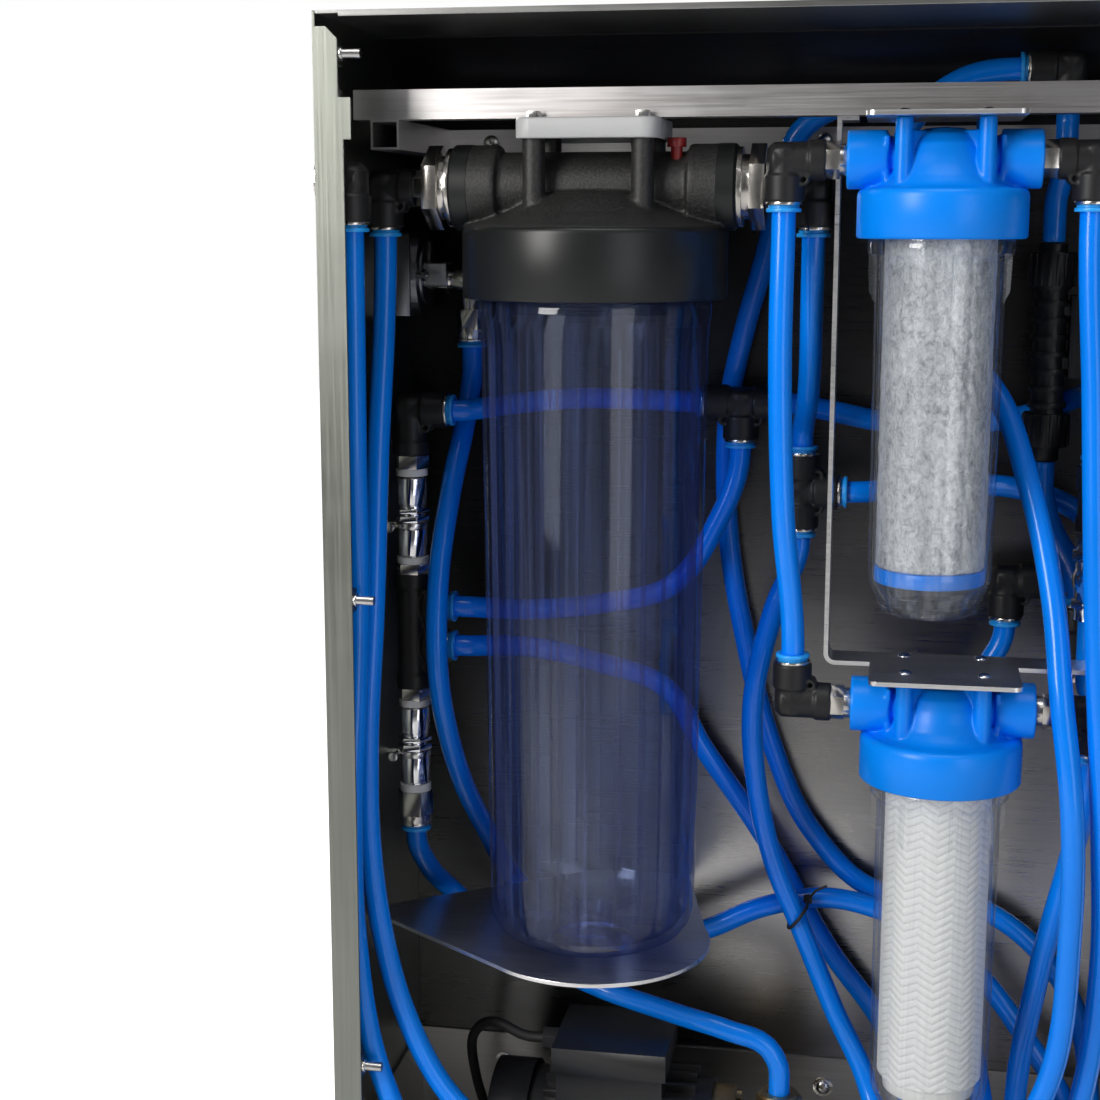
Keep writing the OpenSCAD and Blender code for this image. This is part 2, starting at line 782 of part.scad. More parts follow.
// first two and last two stations of a tube in a fitting
function lead_out(centre,dir) = [centre+dir*tube_start, centre+dir*tube_lead];
function lead_in(centre,dir) = [centre+dir*tube_lead, centre+dir*tube_start];

// Catmull-Rom curve from b to c
function curve_point(a,b,c,d,t) =
  0.5*((2*b) + (c-a)*t + (2*a-5*b+4*c-d)*t*t + (3*b-a-3*c+d)*t*t*t);

// smooth curve through the stations, straight at both ends
function smooth(stations) = let(last=len(stations)-1) [
  for (i=[0:last-1]) for (k=[0:(i==0 || i==last-1) ? 0 : curve_steps-1])
    curve_point(stations[max(i-1,0)], stations[i], stations[i+1],
      stations[min(i+2,last)], k/curve_steps),
  stations[last]
];

// hollow tube swept along the curve through the stations
module sweep(stations) {
  path = smooth(stations);
  last = len(path)-1;
  tangents = [for (i=[0:last]) unit(path[min(i+1,last)]-path[max(i-1,0)])];
  guide = abs(tangents[0][2]) > 0.9 ? RIGHT : UP;
  // one normal per station, carried along the path so the tube doesn't twist
  normals = [for (i=0, u=unit(guide-(guide*tangents[0])*tangents[0]); i<=last;
    i=i+1, u=i<=last ? unit(u-(u*tangents[i])*tangents[i]) : u) u];
  points = [for (r=[tube_r,tube_ri]) for (i=[0:last]) for (k=[0:tube_sides-1])
    let(a=360*k/tube_sides)
    path[i] + r*(cos(a)*normals[i] + sin(a)*cross(tangents[i],normals[i]))];
  m = tube_sides;
  inner = (last+1)*m;   // index of the first inner point
  walls = [for (i=[0:last-1]) for (k=[0:m-1]) let(a=i*m+k, b=i*m+(k+1)%m) each [
    [a,a+m,b+m], [a,b+m,b],
    [inner+a,inner+b+m,inner+a+m], [inner+a,inner+b,inner+b+m]]];
  start_rim = [for (k=[0:m-1]) let(a=k, b=(k+1)%m) each [
    [a,b,inner+b], [a,inner+b,inner+a]]];
  end_rim = [for (k=[0:m-1]) let(a=last*m+k, b=last*m+(k+1)%m) each [
    [b,a,inner+a], [b,inner+a,inner+b]]];
  polyhedron(points, concat(walls,start_rim,end_rim));
}

module feed_tubes() color([0.0,0.47,0.9]) {
  sweep(concat(lead_out(feed_elbow,DOWN), [
    [-361.5,-220,270], [-362.5,-218,190], [-364.5,-210,100], [-366,-214,20],
    [-367.5,-225,-60], [-366,-226,-160], [-352,-218,-262], [-310,-216,-350],
    [-230,-214,-424], [-120,-208,-440], [-62,-180,-418], [-30,-164,-412], [7,-164,-412]]));
  sweep(concat(lead_out(large_left,DOWN), [
    [-358,-154,280], [-359,-172,187], [-360,-188,70], [-364,-194,-23], [-363,-196,-97],
    [-356,-196,-158], [-341,-194,-221], [-313,-190,-282], [-270,-186,-330],
    [-232,-189,-380], [-180,-190,-408], [-95,-182,-396], [-35,-174,-364],
    [4,-166,-346], [20,-164,-368], [20,-164,-401]]));
}

module gauge_line() color([0.0,0.47,0.9]) sweep([
  [-318,-49,275], [-318,-49,240], [-320,-64,200], [-325,-92,150], [-331,-113,80],
  [-330,-116,0], [-320,-102,-65], [-305,-62,-130], [-290,-31,-178], [-250,-32,-214],
  [-190,-42,-220], [-131,-46,-203], [-91,-44,-184], [-37,-40,-174], [10,-40,-184],
  [70,-44,-220], [120,-56,-280], [160,-62,-345], [190,-84,-410], [212,-108,-436],
  [222,-112,-416], [222,-112,-380]]);

module pump_lines() color([0.0,0.47,0.9]) {
  sweep([
    [-356,-91,-96], [-356,-91,-124], [-351,-78,-152], [-336,-55,-182], [-300,-50,-214],
    [-250,-78,-230], [-209,-96,-238], [-150,-106,-250], [-108,-112,-258],
    [-80,-112,-268], [-70,-112,-290], [-70,-112,-318]]);
  sweep(concat(lead_out(link_tee,DOWN), [
    [-84,-70,60], [-98,-72,-10], [-95,-68,-74], [-80,-66,-139], [-60,-67,-186],
    [-31,-72,-253], [-4,-82,-308], [4,-102,-340], [-14,-112,-356], [-50,-112,-356]]));
}

module header_tubes() color([0.0,0.44,0.85]) {
  sweep(concat(lead_out(column_elbow,RIGHT), [
    [-279,-70,211], [-235,-54,214], [-190,-47,213.5]], lead_in(header_tee,LEFT)));
  sweep(concat(lead_out(outlets[0],RIGHT), [
    [-272,-64,52], [-218,-46,55], [-165,-44,70], [-130,-46,120]],
    lead_in(header_tee,DOWN)));
  sweep(concat(lead_out(header_tee,RIGHT), [
    [-50,-40,207], [-10,-33,199], [40,-31,198], [95,-25,204], [132,-38,220],
    [145,-76,228], [141,-108,212]], lead_in(regulator_elbow,UP)));
}

module filter_link_tubes() color([0.0,0.52,0.97]) {
  sweep(concat(lead_out(upper_left,DOWN), [
    [-77,-182.5,260], [-73,-178,150]], lead_in(lower_left,UP)));
  sweep(concat(lead_out(large_right,DOWN), [
    [-58.5,-138,290], [-61,-100,225]], lead_in(link_tee,UP)));
  sweep(concat(lead_out(link_tee,RIGHT), [
    [10,-57,152], [60,-47,155], [98,-38,150], [134,-30,135], [158,-31,108],
    [150,-37,86]], lead_in(link_elbow,RIGHT)));
}

module reject_tubes() color([0.0,0.45,0.87]) {
  sweep(concat(lead_out(outlets[1],RIGHT), [
    [-272,-62,22], [-220,-38,6], [-170,-28,-14], [-140,-24,-62], [-94,-20,-129],
    [-37,-20,-225], [10,-24,-290], [34,-50,-360], [54,-96,-416], [60,-110,-436],
    [60,-110,-464]]));
  sweep([
    [324,-112,376], [324,-112,404], [314,-100,428], [280,-60,432], [150,-42,431],
    [30,-42,431], [-40,-42,430], [-74,-40,410], [-88,-36,370], [-97,-32,325],
    [-112,-24,270], [-124,-16,212], [-126,-16,150], [-122,-18,97], [-109,-18,26],
    [-88,-16,-55], [-55,-16,-126], [-5,-16,-173], [60,-18,-176], [110,-24,-200],
    [150,-34,-250], [160,-80,-310], [151,-140,-350], [148,-164,-374], [148,-164,-401]]);
}

module product_tubes() color([0.0,0.5,0.95]) {
  sweep(concat(lead_out(upper_right,DOWN), [
    [127,-186,230], [135,-194,80], [146,-192,-60], [152,-174,-160], [140,-158,-290],
    [122,-160,-346], [116,-164,-372], [116,-164,-401]]));
  sweep(concat(lead_out(lower_right,DOWN), [
    [132,-156,-80], [114,-130,-190], [104,-106,-300], [110,-106,-390],
    [120,-110,-430], [120,-110,-464]]));
  sweep(concat(lead_out(link_elbow,DOWN), [
    [70,-40,10], [40,-42,-40], [20,-50,-110], [34,-62,-170], [70,-78,-260],
    [84,-124,-330], [85,-156,-352], [84,-164,-372], [84,-164,-401]]));
  sweep([
    [222,-112,374], [222,-112,402], [206,-114,424], [180,-119,406], [164,-122,372],
    [163.5,-122,200], [163,-121,80], [158,-118,34], [148,-113,10], [139,-112,28],
    [139,-112,76]]);
  sweep(concat(lead_out(mixer_top_elbow,LEFT), [
    [40,-66,444], [8,-66,418], [-6,-72,370], [6,-86,305], [44,-106,258], [70,-122,226],
    [91,-148,170], [108,-176,96], [115,-196,31], [124,-204,-38], [128,-196,-130],
    [116,-178,-260], [82,-170,-326], [56,-164,-350], [52,-164,-372], [52,-164,-401]]));
}

module mixer_hoses() color([0.0,0.44,0.85]) {
  sweep([[112,-68,420], [112,-68,398], [110,-64,376], [107,-60,357], [107,-60,331]]);
  sweep(concat([[107,-60,175], [107,-60,156], [114,-60,128], [130,-60,98]],
    lead_in(mixer_foot_elbow,UP)));
}

// ---------------------------------------------------------------- gauge
gauge_r = 31.3;

// +Z runs from the dial side, outside the left wall, into the cabinet
module at_gauge() {
  translate(gauge_place) rotate([0,90,0]) children();
}

module gauge_case() color([0.25,0.25,0.27]) at_gauge() {
  difference() {
    union() {
      cylinder(h=26, r=gauge_r, $fn=64);
      post(-4,4,35,$fn=64);
      post(25.9,2,22);
      translate([4,0,0]) post(27,5,7.5);
    }
    post(-5,16,29.5,$fn=64);
    translate([4,0,0]) post(20,20,2.5);
    post(10,6,1.55,$fn=24);
  }
  // bridge clamp with its two studs
  difference() {
    translate([-24,-5,28.1]) cube([18,10,3]);
    translate([4,0,0]) post(27,7,7.8);
  }
  for (s=[-1,1]) translate([0,s*27,25.9]) {
    cylinder(h=9, r=2, $fn=24);
    hex(4,3,4.4);
  }
  difference() {
    translate([-30,-34,2.1]) cube([60,3,20]);
    cylinder(h=30, r=gauge_r, $fn=64);
  }
}

module gauge_dial() color([0.95,0.95,0.95]) at_gauge() translate([0,0,9.6]) difference() {
  cylinder(h=1.2, r=29.3, $fn=64);
  post(-1,4,1.8,$fn=24);
}

module gauge_needle() color([0.05,0.05,0.05]) at_gauge() {
  post(6.4,8.4,1.5,$fn=24);
  post(6.4,1,3.2,$fn=24);
  rotate([0,0,-45]) translate([-0.7,-7,6.5]) cube([1.4,31,0.8]);
}

module gauge_lens() color([0.9,0.95,1,0.3]) at_gauge() post(-1.5,2,29.4,$fn=64);

// ---------------------------------------------------------------- left column valves
module check_valves() color([0.85,0.85,0.87])
  for (top_z=[158.6,-19]) translate(column + [0,0,top_z]) difference() {
    union() {
      post(-65.8,4.6,11);
      post(-61.4,20,11.4);
      post(-41.5,19,10);
      hex(-36,4.6,13.2);
      hex(-29,3,13.2);
      post(-22.6,20,11.4);
    }
    post(-10,11,socket_r);
    post(-67,11,socket_r);
    post(-60,55,5);
  }

module pipe_clips() color([0.75,0.74,0.72])
  for (z=[117.6,-60]) translate(column + [0,0,z]) {
    difference() {
      union() {
        ring(12.2,10.1,4.2);
        translate([-13.4,-4,0]) cube([4,8,4.2]);
        translate([0,0,2.1]) rod_x(-16,4.5,2.4,$fn=24);
      }
      post(-1,7,10.1);
    }
    translate([0,0,2.1]) rod_x(-22,6.3,2.4,$fn=24);
    // cross screw beside the ring
    translate([-13,-13,2.1]) rotate([90,0,0]) {
      post(-9,12,1.8,$fn=24);
      post(2.8,2.6,3.4,$fn=24);
    }
  }

// ---------------------------------------------------------------- mixer and regulator
module inline_mixer() color([0.06,0.06,0.06]) translate(mixer_axis) difference() {
  union() {
    post(188,136,11.5);
    for (z=[214:12:300]) post(z,4,13.6);
    // ribbed nuts
    for (z=[186,300]) translate([0,0,z]) {
      cylinder(h=24, r=16);
      for (a=[0:20:359]) rotate([0,0,a]) translate([15.4,-1.3,1]) cube([1.6,2.6,22]);
    }
    post(320,10,10);
    post(328,26,5.2);
    post(176,11,10);
    post(160,18,5.2);
    // block on two arms to the right
    translate([13,-14,236]) cube([12,18,58]);
    for (z=[242,280]) translate([9,-8,z]) cube([8,10,8]);
  }
  post(150,210,3.6);
  post(200,110,8);
}

knob_z = 98;

module regulator_body() color([0.8,0.8,0.8]) translate(regulator_axis) difference() {
  union() {
    post(84,38.4,11.2);
    translate([0,0,knob_z]) {
      sphere(r=13.4, $fn=32);
      facing(FRONT) {
        cylinder(h=22, r=8);
        hex(12,6,10.4);
      }
    }
    hex(112,8,13.6);
    hex(78,7,13);
    post(70,9,11);
  }
  post(69,54,5);
  post(69,10,socket_r);
  translate([0,0,knob_z]) facing(FRONT) post(14,12,3.05,$fn=32);
}

module regulator_knob() color([0.0,0.4,0.8])
  translate(regulator_axis + [0,0,knob_z]) facing(FRONT) {
    post(15,12,3,$fn=32);
    difference() {
      union() {
        post(22.4,15,11.5);
        for (a=[0:45:359]) rotate([0,0,a]) translate([10.6,-2,22.4]) cube([2.6,4,15]);
      }
      post(33,6,7);
    }
  }

// ---------------------------------------------------------------- pump
motor_foot_z = -half_h+sheet-motor_axis.z;   // floor, seen from the motor axis
pump_port_x = -70;

module motor_body() difference() {
  union() {
    rod_x(-258,138,54,$fn=64);
    // cooling ribs
    for (a=[0:15:165]) translate([-246,0,0]) rotate([a,0,0])
      translate([0,-1.3,-62]) cube([114,2.6,124]);
    // terminal box and its lid
    translate([-235,-38,48]) cube([80,76,24]);
    translate([-238,-41,71]) cube([86,82,21]);
    // feet and base plate
    for (x=motor_foot_x) for (s=[-1,1])
      translate([x-9,s*motor_foot_y-12,motor_foot_z]) cube([18,24,76]);
    translate([-240,-56,motor_foot_z]) cube([90,112,6]);
    translate([-237,0,81]) facing(LEFT) hex(0,14,9);
  }
  rod_x(-254,130,49,$fn=64);
  rod_x(-260,142,8.06);
  translate([-236,0,81]) facing(LEFT) cylinder(h=20, r=4.15);
  for (x=motor_foot_x) for (s=[-1,1])
    translate([x,s*motor_foot_y,0]) post(motor_foot_z-1,9,3.2);
}

module fan_cowl() difference() {
  rod_x(-288,30,58,$fn=64);
  rod_x(-284,27,55,$fn=64);
  for (i=[-4:4]) translate([-290,i*11-2.5,-38]) cube([8,5,76]);
}

module motor_housing() color([0.07,0.07,0.08]) translate(motor_axis) {
  motor_body();
  fan_cowl();
}

module motor_rotor() color([0.6,0.6,0.62]) translate(motor_axis) {
  rod_x(-279,212,8);
  rod_x(-245,100,34);
  // fan
  rod_x(-276,12,18);
  for (a=[0:45:359]) rotate([a,0,0]) translate([-276,-1.2,14]) cube([12,2.4,36]);
  // slotted wheel in the pump head
  difference() {
    rod_x(-96,22,26);
    for (a=[0:45:179]) rotate([a,0,0]) translate([-90,-2,-30]) cube([20,4,60]);
  }
  rod_x(-96,8,26.4);
}

module pump_head() color([0.45,0.42,0.36]) translate(motor_axis) difference() {
  union() {
    rod_x(-120,16,50,$fn=64);
    rod_x(-106,48,37);
    rod_x(-66,14,30);
    hex_x(-56,14,18);
    translate([pump_port_x,0,0]) {
      cylinder(h=52, r=14);
      hex(38,12,17);
    }
    for (a=[45:90:359]) rotate([a,0,0]) translate([0,0,43]) hex_x(-106,6,6);
  }
  rod_x(-121,20,8.06);
  rod_x(-102,36,27.5);
  rod_x(-70,40,6);
  rod_x(-53,13,8.2);
  translate([pump_port_x,0,0]) {
    cylinder(h=60, r=6);
    post(34,20,8.2);
  }
}

// ---------------------------------------------------------------- membranes and control
module vessel() difference() {
  union() {
    post(-350,700,vessel_r-3,$fn=64);
    for (z=[-362,312]) post(z,50,vessel_r,$fn=64);
    for (z=[-374,361]) post(z,13,36);
    hex(-386,13,15);
    hex(373,8,15);
    // straps with blocks reaching the back panel
    for (z=[-220,200]) {
      post(z,20,vessel_r-0.5,$fn=64);
      translate([-20,0,z]) cube([40,-vessel_y-sheet,20]);
    }
  }
  post(-352,704,vessel_r-8,$fn=64);
  post(-390,790,6);
  for (z=[-387,370]) post(z,12,8.2);
}

module membrane_vessels() color([0.88,0.88,0.86])
  for (x=vessel_x) translate([x,vessel_y,0]) vessel();

// spiral-wound elements inside the vessels
module membrane_elements() color([0.9,0.9,0.92])
  for (x=vessel_x) translate([x,vessel_y,-300]) difference() {
    cylinder(h=600, r=vessel_r-8.6, $fn=64);
    post(-1,602,9);
  }

// valve block on two feet: solenoid coil in front, ports on top
module solenoid_manifold() color([0.55,0.5,0.4]) difference() {
  union() {
    translate([0,-176,-424]) cube([162,24,24]);
    for (x=manifold_port_x) translate([x,manifold_port_y,0]) post(-400.5,12.5,11);
    for (x=[8,134]) translate([x,-176,-half_h+sheet]) cube([20,24,55]);
    translate([14,-219,-430]) cube([36,40,36]);
    translate([32,-181,-412]) rotate([90,0,0]) post(-6,50,9);
  }
  for (x=manifold_port_x) translate([x,manifold_port_y,0]) post(-404,20,socket_r);
  translate([0,manifold_port_y,-412]) {
    rod_x(-1,11,socket_r);
    rod_x(8,146,5);
  }
}

// switch box on the right wall
module control_box() color([0.3,0.31,0.33]) difference() {
  union() {
    translate([319,-232,-84]) cube([half_w-sheet-319,62,150]);
    translate([350,-200,0]) post(-94,11,8);
  }
  translate([322,-229,-81]) cube([53,56,144]);
  translate([336,-233,18]) cube([22,6,30]);
  translate([350,-200,0]) post(-95,16,4.15);
}

module rocker_switch() color([0.7,0.05,0.05]) translate([347,-229,33]) {
  rotate([-11,0,0]) translate([-9.5,-5.5,-12]) cube([19,6,24]);
  rod_x(-10.6,21.2,1.5,$fn=24);
}

// cable stations from the motor terminal box to the control box
cable_path = [[-242,-112,-275], [-262,-112,-275], [-290,-106,-268], [-312,-84,-288],
  [-318,-60,-330], [-300,-32,-400], [-220,-20,-450], [0,-20,-456], [200,-20,-456],
  [300,-30,-456], [350,-90,-455], [366,-168,-430], [366,-194,-330], [360,-200,-200],
  [350,-200,-134], [350,-200,-82]];

// straight stretches joined by balls just large enough to cover each bend
module cable(path,r) {
  for (i=[0:len(path)-2]) let(run=path[i+1]-path[i])
    translate(path[i]) facing(run) cylinder(h=norm(run), r=r, $fn=32);
  for (i=[1:len(path)-2])
    let(turn_cos=unit(path[i]-path[i-1])*unit(path[i+1]-path[i]))
      translate(path[i]) facing(path[i+1]-path[i-1])
        sphere(r=1.012*r/sqrt((1+turn_cos)/2), $fn=32);
}

module power_cable() color([0.03,0.03,0.03]) cable(cable_path,4);

back_panel();
left_side_panel();
right_side_panel();
roof_panel();
roof_baffle();
floor_tray();
cover_pins();
support_frame();
screws_and_bolts();
filter_shelf();
large_filter_bracket();
upper_filter_plate();
lower_filter_hanger();
large_filter_cap();
large_filter_sump();
large_filter_oring();
relief_button();
upper_filter_cap();
upper_filter_sump();
upper_filter_oring();
carbon_cartridge();
upper_end_caps();
lower_filter_cap();
lower_filter_sump();
lower_filter_oring();
wound_cartridge();
lower_end_caps();
nickel_fittings();
elbow_fittings();
tee_fittings();
collars_down();
collars_up();
collars_right();
collars_left();
feed_tubes();
gauge_line();
pump_lines();
header_tubes();
filter_link_tubes();
reject_tubes();
product_tubes();
mixer_hoses();
gauge_case();
gauge_dial();
gauge_needle();
gauge_lens();
check_valves();
pipe_clips();
inline_mixer();
regulator_body();
regulator_knob();
motor_housing();
motor_rotor();
pump_head();
membrane_vessels();
control_box();
membrane_elements();
solenoid_manifold();
rocker_switch();
power_cable();
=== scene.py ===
# A water filter unit in a steel case: one large and two slim filters, pump, fittings and tubes.
# +X is right, -Y is the open front, +Z is up. Shapes are in millimetres; materials, lights
# and camera are in metres.
import bpy
import bmesh
import functools
import math
import numpy as np
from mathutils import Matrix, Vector


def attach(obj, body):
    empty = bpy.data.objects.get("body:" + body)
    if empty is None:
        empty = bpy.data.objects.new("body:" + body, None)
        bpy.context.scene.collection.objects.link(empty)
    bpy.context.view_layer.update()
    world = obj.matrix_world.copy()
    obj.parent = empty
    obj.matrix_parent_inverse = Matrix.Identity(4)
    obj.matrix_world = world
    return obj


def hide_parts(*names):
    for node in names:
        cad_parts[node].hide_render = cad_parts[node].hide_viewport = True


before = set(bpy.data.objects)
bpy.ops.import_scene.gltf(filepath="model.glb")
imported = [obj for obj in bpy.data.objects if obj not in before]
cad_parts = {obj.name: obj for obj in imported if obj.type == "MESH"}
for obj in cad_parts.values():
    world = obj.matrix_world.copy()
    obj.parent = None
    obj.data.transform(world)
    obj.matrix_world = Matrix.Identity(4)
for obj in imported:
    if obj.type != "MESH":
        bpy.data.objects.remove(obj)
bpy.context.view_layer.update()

scene = bpy.context.scene
MM = 0.001
PX, NX, PY = (1, 0, 0), (-1, 0, 0), (0, 1, 0)
UP, DN = (0, 0, 1), (0, 0, -1)

# ---------------------------------------------------------------- places (mm)
LARGE = (-208, -148, 0)
UPPER = (26, -183, 334)
LOWER = (38, -170, -34)
MANIFOLD = (-356, -91)              # x, y of the upright black manifold
HIGH_BRANCH, LOW_BRANCH = 58, 27.5  # heights of its side mouths
LARGE_PORT_Z = 368.5
LARGE_PORT_FACE = 97.5              # from the large filter's axis to its port faces
SLIM_PORT_Z = 51                    # above a slim filter's origin


def beside(place, across, above):
    return (place[0] + across, place[1], place[2] + above)


LARGE_LEFT = beside(LARGE, -150, LARGE_PORT_Z)
LARGE_RIGHT = beside(LARGE, 150, LARGE_PORT_Z)
UPPER_LEFT = beside(UPPER, -102.5, SLIM_PORT_Z)
UPPER_RIGHT = beside(UPPER, 94.5, SLIM_PORT_Z)
LOWER_LEFT = beside(LOWER, -102.5, SLIM_PORT_Z)
LOWER_RIGHT = beside(LOWER, 102.5, SLIM_PORT_Z)
FEED_ELBOW = (-361, -221, 372)
MANIFOLD_ELBOW = (*MANIFOLD, 207)
HEADER_TEE = (-113, -46, 212)
LINK_TEE = (-66, -70, 150)
REAR_ELBOW = (86, -38, 82)
TOP_ELBOW = (112, -68, 450)
MIXER_ELBOW = (136, -60, 42)
RIGHT_ELBOW = (139, -112, 152)


# ---------------------------------------------------------------- mesh kit
def facing(axis):
    """Matrix that turns +Z to the axis."""
    axis = np.array(axis, float)
    axis /= np.linalg.norm(axis)
    helper = np.array([0, 0, 1.0]) if abs(axis[2]) < 0.9 else np.array([1.0, 0, 0])
    side = np.cross(helper, axis)
    side /= np.linalg.norm(side)
    return np.stack([side, np.cross(axis, side), axis], 1)


def spin(angle):
    """Matrix that turns about Z, angle in degrees."""
    c, s = math.cos(math.radians(angle)), math.sin(math.radians(angle))
    return np.array([[c, -s, 0], [s, c, 0], [0, 0, 1]])


class Shape:
    """Points and faces that grow part by part."""

    def __init__(self):
        self.points, self.faces = [], []

    def add(self, points, faces):
        first = len(self.points)
        self.points += np.asarray(points, float).tolist()
        self.faces += [[i + first for i in face] for face in faces]
        return self

    def join(self, other, move):
        return self.add(np.array(other.points) + np.array(move), other.faces)

    def lathe(self, profile, sides, centre=(0, 0, 0), axis=UP, closed=False):
        """Turns (radius, height) points about an axis; closed joins the last to the first."""
        points, rings, faces = [], [], []
        for radius, height in profile:
            first = len(points)
            if radius < 1e-6:
                points.append((0, 0, height))
            else:
                for k in range(sides):
                    a = 2 * math.pi * k / sides
                    points.append((radius * math.cos(a), radius * math.sin(a), height))
            rings.append(range(first, len(points)))
        pairs = list(zip(rings, rings[1:]))
        if closed:
            pairs.append((rings[-1], rings[0]))
        for low, high in pairs:
            for k in range(sides):
                j = (k + 1) % sides
                if len(low) == 1:
                    faces.append([low[0], high[j], high[k]])
                elif len(high) == 1:
                    faces.append([low[k], low[j], high[0]])
                else:
                    faces.append([low[k], low[j], high[j], high[k]])
        return self.add(np.array(points) @ facing(axis).T + np.array(centre, float), faces)

    def box(self, low, high, turn=np.eye(3), centre=(0, 0, 0)):
        (x0, y0, z0), (x1, y1, z1) = low, high
        corners = np.array([(x, y, z) for z in (z0, z1)
                            for x, y in ((x0, y0), (x1, y0), (x1, y1), (x0, y1))], float)
        return self.add(corners @ turn.T + np.array(centre),
                        [[0, 3, 2, 1], [4, 5, 6, 7], [0, 1, 5, 4],
                         [1, 2, 6, 5], [2, 3, 7, 6], [3, 0, 4, 7]])

    def sweep(self, path, radius, sides=20, bore=0, bore_depth=0):
        """Round bar along a path, its rims eased, with a blind bore at each end if asked."""
        ease = 0.4
        path = np.array(path, float)
        along = np.zeros_like(path)
        along[1:-1] = path[2:] - path[:-2]
        along[0] = path[1] - path[0]
        along[-1] = path[-1] - path[-2]
        along /= np.linalg.norm(along, axis=1)[:, None]
        start, end = along[0], along[-1]
        helper = np.array([1.0, 0, 0]) if abs(start[2]) > 0.9 else np.array([0, 0, 1.0])
        across = helper - helper @ start * start
        across /= np.linalg.norm(across)
        a = np.arange(sides) * 2 * math.pi / sides
        circles = []
        for tangent in along:
            across = across - across @ tangent * tangent
            across /= np.linalg.norm(across)
            third = np.cross(tangent, across)
            circles.append(np.cos(a)[:, None] * across + np.sin(a)[:, None] * third)
        first, last = circles[0], circles[-1]
        rings = []
        if bore:
            rings += [path[0] + start * bore_depth + first * bore, path[0] + first * bore]
        rings += [path[0] + first * (radius - ease), path[0] + start * ease + first * radius]
        rings += [path[i] + circles[i] * radius for i in range(1, len(path) - 1)]
        rings += [path[-1] - end * ease + last * radius, path[-1] + last * (radius - ease)]
        if bore:
            rings += [path[-1] + last * bore, path[-1] - end * bore_depth + last * bore]
        faces = []
        for i in range(len(rings) - 1):
            for k in range(sides):
                j = (k + 1) % sides
                faces.append([i * sides + k, i * sides + j,
                              (i + 1) * sides + j, (i + 1) * sides + k])
        faces.append(list(range(sides))[::-1])
        faces.append([(len(rings) - 1) * sides + k for k in range(sides)])
        return self.add(np.concatenate(rings), faces)


def smooth(stations, step=6.0):
    """Smooth line through the stations, straight in its first and last stretch."""
    stations = [np.array(q, float) for q in stations]
    gaps = [b - a for a, b in zip(stations, stations[1:])]
    lengths = [np.linalg.norm(q) for q in gaps]
    units = [q / length for q, length in zip(gaps, lengths)]
    tangents = [units[0]]
    for i in range(1, len(gaps)):
        tangent = units[i - 1] * lengths[i] + units[i] * lengths[i - 1]
        tangents.append(tangent / np.linalg.norm(tangent))
    tangents.append(units[-1])
    if len(stations) > 3:
        tangents[1], tangents[-2] = units[0], units[-1]
    line = []
    for i, length in enumerate(lengths):
        count = max(1, int(length / step))
        for j in range(count):
            x = j / count
            line.append((2*x**3 - 3*x*x + 1) * stations[i]
                        + (x**3 - 2*x*x + x) * tangents[i] * length
                        + (-2*x**3 + 3*x*x) * stations[i + 1]
                        + (x**3 - x*x) * tangents[i + 1] * length)
    line.append(stations[-1])
    return line


def to_mesh(name, shape):
    mesh = bpy.data.meshes.new(name)
    mesh.from_pydata((np.array(shape.points) * MM).tolist(), [], shape.faces)
    work = bmesh.new()
    work.from_mesh(mesh)
    bmesh.ops.recalc_face_normals(work, faces=work.faces)
    work.to_mesh(mesh)
    work.free()
    return mesh


def moulded(shape, voxel):
    """Closed parts melted into one skin with soft fillets."""
    mesh = to_mesh("tmp", shape)
    obj = bpy.data.objects.new("tmp", mesh)
    scene.collection.objects.link(obj)
    remesh = obj.modifiers.new("remesh", "REMESH")
    remesh.mode = "VOXEL"
    remesh.voxel_size = voxel * MM
    soften = obj.modifiers.new("smooth", "SMOOTH")
    soften.factor = 0.5
    soften.iterations = 3
    evaluated = obj.evaluated_get(bpy.context.evaluated_depsgraph_get())
    result = evaluated.to_mesh()
    coords = np.zeros(len(result.vertices) * 3)
    result.vertices.foreach_get("co", coords)
    skin = Shape().add(coords.reshape(-1, 3) / MM, [list(p.vertices) for p in result.polygons])
    evaluated.to_mesh_clear()
    bpy.data.objects.remove(obj)
    bpy.data.meshes.remove(mesh)
    return skin


def shade(mesh, angle):
    mesh.polygons.foreach_set("use_smooth", [True] * len(mesh.polygons))
    mesh.set_sharp_from_angle(angle=math.radians(angle))


def add_bevel(obj, width, angle, harden=True):
    bevel = obj.modifiers.new("bevel", "BEVEL")
    bevel.width = width * MM
    bevel.segments = 2
    bevel.limit_method = "ANGLE"
    bevel.angle_limit = math.radians(angle)
    bevel.harden_normals = harden


def piece(name, shape, material, angle, replaces=None, body="root", bevel=0):
    mesh = to_mesh(name, shape)
    shade(mesh, angle)
    obj = bpy.data.objects.new(name, mesh)
    scene.collection.objects.link(obj)
    mesh.materials.append(MATERIALS[material])
    if bevel:
        add_bevel(obj, bevel, angle=35)
    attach(obj, body)
    if replaces:
        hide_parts(replaces)
    return obj


